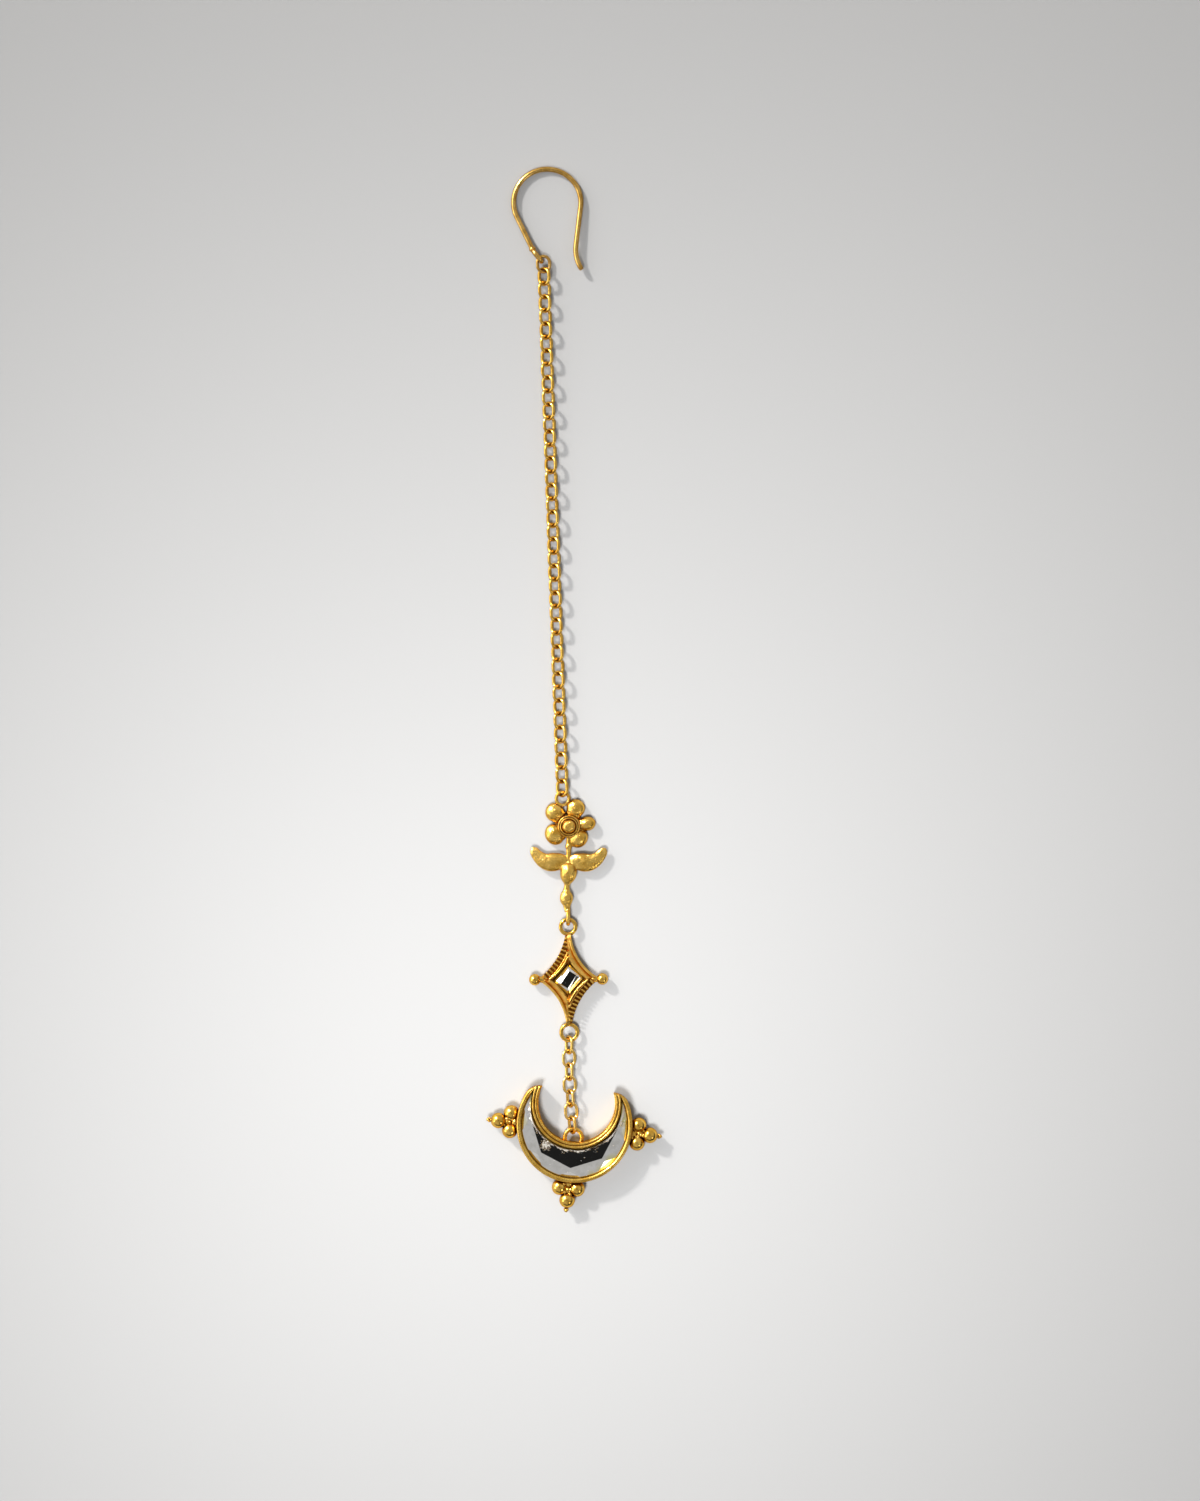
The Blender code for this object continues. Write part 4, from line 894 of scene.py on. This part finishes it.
def add_star_glass():
    step_size = [(outer + inner) / 2 for outer, inner in zip(STONE, STONE_TABLE)]
    back_size = [length * STONE_BACK_SHARE for length in STONE[:3]] + [STONE[3]]
    bottom = STAR_FLOOR + GLASS_GAP
    girdle = bottom + STONE_GIRDLE
    step = girdle + STONE_STEP_RISE
    bm = bmesh.new()
    skin(bm, (
        stone_outline(back_size, bottom),
        stone_outline(STONE, girdle - STONE_GIRDLE / 2),
        stone_outline(STONE, girdle),
        stone_outline(step_size, step),
        stone_outline(STONE_TABLE, step + STONE_TABLE_RISE),
    ))
    glass = foiled_glass("star_foil", star_flakes)
    show("star_glass", bm, seat(star_center, STAR_LEAN), glass, "star_stone", sharp=3.0)


add_star_glass()

# The flower charm is cast in one piece: five domed petals round a turned button, two leaves spread
# like wings, and a stem with a knot, a leaf and a bead. The casting keeps a fine grain under its
# satin. An eye is cast at the lower end of the stem, and the ring at the top is soldered on.
CHARM_LEAN = -0.5
CHARM_EYE_LENGTH = 2.40
CHARM_EYE_WIDTH = 1.88
CHARM_EYE_WIRE = 0.60
STEM_WIRE = 0.62
STEM_FLATNESS = 0.80
STEM_TOP = 11.80
STEM_SWAY = 0.28
BEAD_PLACE, BEAD_LENGTH, BEAD_WIDTH = 2.75, 2.90, 1.74
LEAF_PLACE, LEAF_LENGTH, LEAF_WIDTH = 6.50, 3.40, 2.25
KNOT_PLACE, KNOT_LENGTH, KNOT_WIDTH = 10.30, 0.85, 0.85
WING_ROOT = 8.50
WING_SPAN = 5.40
WING_WIDTH = 2.65
WING_THICKNESS = 1.25
FLOWER_PLACE = 13.22
FLOWER_RADIUS = 2.92
PETAL = 2.90
PETAL_HEIGHT = 1.65
PETAL_BASE = 0.35
PETAL_FLATNESS = 0.70
PETAL_ROOT_REACH = 0.26
PETAL_ROOT = (0.68, 0.86, 0.80)
BOSS_RADIUS = 1.67
BOSS_SHOULDER = 1.50
BOSS_HEIGHT = 2.40
CHARM_RING = 2.39
CHARM_RING_WIRE = 0.49
CHARM_RING_SIDE = -0.95
CHARM_RING_RISE = 4.02
CHARM_RING_ROLL = -15.0
CAST_VOXEL = 0.075
CAST_LOSS = 0.08
# Each petal's place round the button in degrees, and its distance, width and length as shares
PETALS = listed(
    "angle distance width length",
    (136.0, 1.00, 0.93, 0.93),
    (70.0, 0.95, 0.93, 0.93),
    (9.0, 0.92, 0.72, 0.84),
    (-51.6, 0.76, 1.00, 0.90),
    (-150.0, 0.81, 1.08, 0.97),
)
# The middle line of a wing: how far out and how far up it is as shares of the span, and its width
WING_LINE = (
    (0.02, 0.02, 0.30),
    (0.12, -0.02, 0.72),
    (0.30, -0.07, 0.97),
    (0.50, -0.09, 1.00),
    (0.68, -0.04, 0.84),
    (0.83, 0.08, 0.66),
    (0.94, 0.23, 0.48),
    (0.99, 0.30, 0.16),
)
# The profiles of the swellings along the stem, as shares of their length and of their width
BEAD_LINE = ((0.0, 0.44), (0.14, 0.50), (0.28, 0.78), (0.42, 0.97), (0.56, 1.0), (0.70, 0.92),
             (0.82, 0.68), (0.91, 0.50), (1.0, 0.42))
LEAF_LINE = ((0.0, 0.30), (0.12, 0.58), (0.30, 0.90), (0.48, 1.0), (0.68, 0.96), (0.84, 0.72),
             (1.0, 0.28))
KNOT_LINE = ((0.0, 0.7), (0.3, 1.0), (0.7, 1.0), (1.0, 0.7))
# The button from its top down: shares of its radius, and of its rise above the shoulder
BOSS_LINE = ((0.01, 0.0), (0.28, 0.05), (0.46, 0.26), (0.57, 0.62), (0.63, 0.90), (0.69, 0.78),
             (0.76, 0.80), (0.81, 0.98), (0.87, 0.86), (0.95, 0.92), (1.0, 1.25), (1.0, 2.0))
LONG_LINK_LENGTH = 2.75
LONG_LINK_WIDTH = 2.32
LONG_LINK_WIRE = 0.43
LONG_ROLL = 45.0
LONG_HEIGHT = lying_height(LONG_LINK_WIDTH, LONG_LINK_WIRE, LONG_ROLL)


def smoothed(rows, parts=6):
    """Rows of numbers carried through a smooth curve, with as many parts between each two."""
    ends = [rows[0]] + list(rows) + [rows[-1]]
    result = []
    for before, start, end, after in zip(ends, ends[1:], ends[2:], ends[3:]):
        for k in range(parts):
            t = k / parts
            result.append([
                0.5 * (2 * b + (c - a) * t + (2 * a - 5 * b + 4 * c - d) * t**2
                       + (3 * b - a - 3 * c + d) * t**3)
                for a, b, c, d in zip(before, start, end, after)
            ])
    result.append(list(rows[-1]))
    return result


def stem_rows():
    """The stem's places from the eye to the flower, with its radius at each."""
    rows = [((CHARM_EYE_LENGTH - CHARM_EYE_WIRE) / 2 - SOLDER_BITE / 2, STEM_WIRE)]
    for line, place, length, width in (
        (BEAD_LINE, BEAD_PLACE, BEAD_LENGTH, BEAD_WIDTH),
        (LEAF_LINE, LEAF_PLACE, LEAF_LENGTH, LEAF_WIDTH),
        (KNOT_LINE, KNOT_PLACE, KNOT_LENGTH, KNOT_WIDTH),
    ):
        for along, across in line:
            rows.append((place + length * (along - 0.5), max(STEM_WIRE, width * across)))
    rows.append((STEM_TOP, STEM_WIRE))
    return smoothed(rows, 4)


def add_stem(bm):
    line, radii = [], []
    for up, width in stem_rows():
        sway = sin(pi * min(1.0, max(0.0, up / LEAF_PLACE)))
        line.append((-STEM_SWAY * sway, up, HANG_HEIGHT))
        radii.append(width / 2 + CAST_LOSS)
    tube(bm, line, radii, sides=24, flat=STEM_FLATNESS)


def add_wing(bm, side):
    rows = smoothed(WING_LINE)
    line = [(side * WING_SPAN * out, WING_ROOT + WING_SPAN * up, HANG_HEIGHT) for out, up, _ in rows]
    radii = [WING_WIDTH / 2 * max(0.05, width) for _, _, width in rows]
    tube(bm, line, radii, sides=32, flat=WING_THICKNESS / WING_WIDTH)


def add_petal(bm, row):
    size = (PETAL * row["length"], PETAL * row["width"], 2 * (PETAL_HEIGHT - PETAL_BASE))
    place = polar((0, FLOWER_PLACE), FLOWER_RADIUS * row["distance"], row["angle"])
    placed = moved(*place, PETAL_BASE) @ turned(row["angle"])
    root = (-PETAL_ROOT_REACH * PETAL, 0.0, 0.0)
    root_size = [length * share for length, share in zip(size, PETAL_ROOT)]
    for place, whole in (((0, 0, 0), size), (root, root_size)):
        half = whole[2] / 2
        for vert in ball(bm, place, whole):
            dome = half * (abs(vert.co.z) / half) ** PETAL_FLATNESS
            vert.co = placed @ Vector((vert.co.x, vert.co.y, copysign(dome, vert.co.z)))
            vert.co.z = max(0.02, vert.co.z)


def add_boss(bm):
    """A turned button: a disc, a ring and a dome."""
    rise = BOSS_HEIGHT - BOSS_SHOULDER
    profile = smoothed([(BOSS_RADIUS * out, BOSS_HEIGHT - rise * down) for out, down in BOSS_LINE], 5)
    rows = []
    for radius, height in profile:
        rows.append([(*point, height) for point in arc((0, FLOWER_PLACE), radius, 0, 360, 56)])
    skin(bm, rows)


def cast_in_one(mesh):
    """The parts of a casting run together in one skin with soft corners."""
    obj = added("casting", mesh)
    cast = obj.modifiers.new("one skin", "REMESH")
    cast.mode = "VOXEL"
    cast.voxel_size = CAST_VOXEL
    soft = obj.modifiers.new("soft corners", "SMOOTH")
    soft.factor = 0.5
    soft.iterations = 5
    return applied(obj)


def add_charm():
    top_ring = star_center + heading(STAR_LEAN) * STAR_TOP_RING_RISE
    eye_reach = CHARM_EYE_LENGTH / 2 - CHARM_EYE_WIRE
    top_reach = STAR_TOP_RING / 2 - STAR_RING_WIRE
    eye = top_ring + heading(CHARM_LEAN) * (top_reach + eye_reach - LINK_CLEARANCE)
    bm = bmesh.new()
    add_stem(bm)
    add_wing(bm, -1)
    add_wing(bm, 1)
    for row in PETALS:
        add_petal(bm, row)
    on_edge = moved(0, 0, HANG_HEIGHT) @ roll_by(90.0)
    oval(bm, CHARM_EYE_LENGTH, CHARM_EYE_WIDTH, CHARM_EYE_WIRE, on_edge)
    casting = cast_in_one(mesh_of("charm_casting", bm))

    bm = bmesh.new()
    bm.from_mesh(casting)
    add_boss(bm)
    ring_place = Vector((CHARM_RING_SIDE, FLOWER_PLACE + CHARM_RING_RISE, LONG_HEIGHT))
    ring(bm, CHARM_RING, CHARM_RING_WIRE, moved(*ring_place) @ roll_by(CHARM_RING_ROLL))
    metal = gold("charm_gold", SATIN_GOLD, SATIN_SHADE, 0.15, 0.22, 0.040, 0.12, 1.5)
    show("flower", bm, seat(eye, CHARM_LEAN), metal, "flower_charm", sharp=60.0)
    return eye + turned(CHARM_LEAN, 3) @ ring_place


charm_ring = add_charm()

# The long chain is a cable chain of thirty-nine oval links, each closed through the last and lying
# over to one side and the other by turns. It is bought by length, bright and free of marks.
LONG_LEAN = 2.04
LONG_LINKS = 39
LINK_BITE = 0.06
LONG_ROLL_PLAY = 4.0


def add_long_chain():
    """The links in one mesh, and the place where the hook's ring begins."""
    settle = random.Random(11)
    inner_half = LONG_LINK_LENGTH / 2 - LONG_LINK_WIRE
    first = CHARM_RING / 2 - CHARM_RING_WIRE + inner_half - LINK_CLEARANCE
    pitch = 2 * inner_half + LINK_BITE
    lift = (LINK_FULLNESS - 1.0) * LONG_LINK_WIRE / 2
    bm = bmesh.new()
    for number in range(LONG_LINKS):
        roll = LONG_ROLL - settle.uniform(0.0, LONG_ROLL_PLAY)
        placed = moved(0.0, first + pitch * number, lift) @ roll_by(-roll if number % 2 else roll)
        oval(bm, LONG_LINK_LENGTH, LONG_LINK_WIDTH, LONG_LINK_WIRE, placed, LINK_FULLNESS, 14)
    metal = gold("chain_gold", GOLD, DEEP_GOLD, 0.16, 0.08, 0.002)
    show("cable_chain", bm, seat(charm_ring, LONG_LEAN), metal, "long_chain")
    far = first + pitch * (LONG_LINKS - 1) + inner_half - LINK_CLEARANCE
    return charm_ring + heading(LONG_LEAN) * far


long_chain_end = add_long_chain()

# The ring and the hair hook: the hook is one length of hard brass wire, bent round a form and
# plated. Its near end is closed into an eye with a collar, and its far end is left open and flares.
HOOK_RING_LENGTH = 2.75
HOOK_RING_WIDTH = 2.30
HOOK_RING_WIRE = 0.45
HOOK_RING_ROLL = -18.0
PULL_ANGLE = 135.0
HOOK_WIRE = 0.74
HOOK_EYE_LENGTH = 2.62
HOOK_EYE_HEIGHT = 2.05
HOOK_EYE_WIRE = 0.66
HOOK_EYE_LEAN = 37.5
COLLAR = 0.98
COLLAR_LENGTH = 0.55
LEG_LEAN = 25.8
LEG_LENGTH = 5.43
LOOP_RADIUS = 4.87
FREE_LEG_LEAN = 6.8
FREE_LEG_LENGTH = 5.60
FLARE_RADIUS = 5.40
FLARE_TURN = 40.0
HOOK_TIP_SHARE = 0.8
HOOK_GOLD = (0.76, 0.48, 0.14, 1.0)
HOOK_SHADE = (0.52, 0.29, 0.06, 1.0)


def bent_line(start, lean, bends, step=3.0):
    """Points along straight runs and arcs from a start, given as (length, turn to the left)."""
    points = [Vector(start)]
    for length, turn in bends:
        steps = max(6, round(abs(turn) / step))
        for _ in range(steps):
            lean += turn / steps / 2
            points.append(points[-1] + heading(lean) * (length / steps))
            lean += turn / steps / 2
    return points


def add_hook():
    metal = gold("hook_gold", HOOK_GOLD, HOOK_SHADE, 0.19, 0.11, 0.004, 0.12)
    ring_center = long_chain_end + heading(LONG_LEAN) * (HOOK_RING_LENGTH / 2 - HOOK_RING_WIRE)
    bm = bmesh.new()
    oval(bm, HOOK_RING_LENGTH, HOOK_RING_WIDTH, HOOK_RING_WIRE, roll_by(HOOK_RING_ROLL))
    show("joining_ring", bm, seat(ring_center, LONG_LEAN), metal, "hook_ring")

    end_center = Vector((0.0, (HOOK_RING_LENGTH - HOOK_RING_WIDTH) / 2))
    contact = polar(end_center, (HOOK_RING_WIDTH - HOOK_RING_WIRE) / 2, PULL_ANGLE).to_3d()
    eye_reach = HOOK_EYE_LENGTH / 2 - HOOK_EYE_WIRE - HOOK_RING_WIRE / 2 - LINK_CLEARANCE
    eye_center = ring_center + turned(LONG_LEAN, 3) @ contact + heading(HOOK_EYE_LEAN) * eye_reach
    eye_center.z = HOOK_EYE_HEIGHT / 2

    bm = bmesh.new()
    on_edge = turned(HOOK_EYE_LEAN) @ roll_by(90.0)
    oval(bm, HOOK_EYE_LENGTH, HOOK_EYE_HEIGHT, HOOK_EYE_WIRE, on_edge)
    root = heading(HOOK_EYE_LEAN) * (HOOK_EYE_LENGTH / 2 - HOOK_EYE_WIRE / 2)
    loop_turn = -(180 + LEG_LEAN + FREE_LEG_LEAN)
    line = bent_line(root, LEG_LEAN, (
        (LEG_LENGTH, 0),
        (LOOP_RADIUS * radians(-loop_turn), loop_turn),
        (FREE_LEG_LENGTH, 0),
        (FLARE_RADIUS * radians(FLARE_TURN), FLARE_TURN),
    ))
    reach = max(point.y for point in line) - root.y
    fall = (HOOK_EYE_HEIGHT - HOOK_WIRE) / 2
    for point in line:
        point.z = -fall * (point.y - root.y) / reach
    radii = [HOOK_WIRE / 2] * len(line)
    radii[-1] *= HOOK_TIP_SHARE
    tube(bm, line, radii, sides=24)
    along = (line[1] - line[0]).normalized()
    shares = [i / 12 for i in range(13)]
    collar_line = [root + along * COLLAR_LENGTH * share for share in shares]
    radii = [mix(HOOK_WIRE, COLLAR, sin(pi * share) ** 0.6) / 2 for share in shares]
    tube(bm, collar_line, radii, sides=24)
    show("hook", bm, seat(eye_center), metal, "hair_hook", sharp=50.0)


add_hook()

# The table and the light: a pale matt table, a soft lamp at the upper left, and a studio that is
# dark straight above, where the camera stands, and dim towards the lower right, by a dark screen.
TABLE_COLOR = (0.26, 0.26, 0.26, 1.0)
TABLE_REACH = 1500.0
TABLE_DROP = 0.02
LIGHT_WAY = Vector((-0.579, 0.604, 0.545))
KEY_LIGHT = 4.4
KEY_COLOR = (1.0, 0.97, 0.93)
KEY_WIDTH = 5.0
POOL_PLACE = Vector((-0.12, -0.22, 0.72))
POOL_AIM = Vector((-0.012, 0.022, 0.0))
POOL_LIGHT = 62.0
POOL_ANGLE = 20.0
POOL_SOURCE = 0.10
CAMERA_PLACE = Vector((4.22, 59.58, 900.0))
PICTURE_WIDTH = 174.0
SENSOR = 36.0
ROOM_LIGHT = 0.62
UP = (0.0, 0.0, 1.0)
# Which way each part of the studio lies, its outer and inner edge in degrees, and the shares of
# light outside and inside it
OVERHEAD = (UP, 10.0, 6.0, 1.0, 0.03)
CEILING = (UP, 38.0, 30.0, 1.0, 0.80)
LOW_ROOM = (UP, 78.0, 52.0, 1.0, 0.0)
FAR_SIDE = ((0.64, -0.77, 0.0), 100.0, 62.0, 0.0, 0.95)
SCREEN = ((0.586, -0.586, 0.559), 30.0, 20.0, 1.0, 0.12)
WINDOWS = (
    ((-0.68, 0.50, 0.48), 28.0, 12.0, 0.0, 4.0),
    ((-0.92, -0.10, 0.38), 14.0, 6.0, 0.0, 4.0),
    ((0.54, -0.54, 0.55), 12.0, 5.0, 0.0, 4.0),
)


def add_lamp(name, kind, place, way, **settings):
    """A lamp that shines from the way's far end."""
    lamp = bpy.data.lights.new(name, kind)
    for setting, value in settings.items():
        setattr(lamp, setting, value)
    obj = added(name, lamp)
    obj.location = place
    obj.rotation_euler = way.to_track_quat("Z", "Y").to_euler()
    return obj


def add_studio():
    world = bpy.data.worlds.new("studio")
    bpy.context.scene.world = world
    world.use_nodes = True
    tree = world.node_tree
    way = node(tree, "ShaderNodeTexCoord").outputs["Generated"]

    def toward(direction, outer, inner, outside, inside):
        """A share that goes from outside to inside as the way comes near the direction."""
        aim = tuple(Vector(direction).normalized())
        dot = node(tree, "ShaderNodeVectorMath", {0: way, 1: aim}, operation="DOT_PRODUCT").outputs[1]
        edges = [cos(radians(edge)) for edge in (outer, inner)]
        return ramped(tree, dot, *edges, outside, inside)

    light = joined(tree, 1.0, joined(tree, toward(*LOW_ROOM), toward(*FAR_SIDE)), "SUBTRACT")
    for share in (toward(*CEILING), toward(*SCREEN), ROOM_LIGHT):
        light = joined(tree, light, share)
    for window in WINDOWS:
        light = joined(tree, light, toward(*window), "ADD")
    inputs = tree.nodes["Background"].inputs
    inputs["Color"].default_value = (1.0, 1.0, 1.0, 1.0)
    tree.links.new(joined(tree, light, toward(*OVERHEAD)), inputs["Strength"])


table_form = bmesh.new()
bmesh.ops.create_grid(table_form, x_segments=1, y_segments=1, size=TABLE_REACH * MM)
table = added("table", mesh_of("table", table_form))
table.location.z = -TABLE_DROP * MM
table.data.materials.append(
    new_material("table_paint", Base_Color=TABLE_COLOR, Roughness=0.7, Specular_IOR_Level=0.2)
)

# A low key like the sun, and a wide soft pool of light on the table round the lower end
add_lamp("key", "SUN", LIGHT_WAY, LIGHT_WAY, energy=KEY_LIGHT, angle=radians(KEY_WIDTH),
         color=KEY_COLOR)
pool = add_lamp("pool", "SPOT", POOL_PLACE, POOL_PLACE - POOL_AIM, energy=POOL_LIGHT,
                spot_size=radians(POOL_ANGLE), spot_blend=1.0, shadow_soft_size=POOL_SOURCE)
pool.visible_glossy = False
add_studio()

lens = bpy.data.cameras.new("camera")
lens.sensor_fit = "HORIZONTAL"
lens.sensor_width = SENSOR
lens.lens = SENSOR * CAMERA_PLACE.z / PICTURE_WIDTH
lens.clip_start = 0.01
camera = added("camera", lens)
camera.location = CAMERA_PLACE * MM
bpy.context.scene.camera = camera
bpy.context.scene.view_settings.view_transform = "Standard"
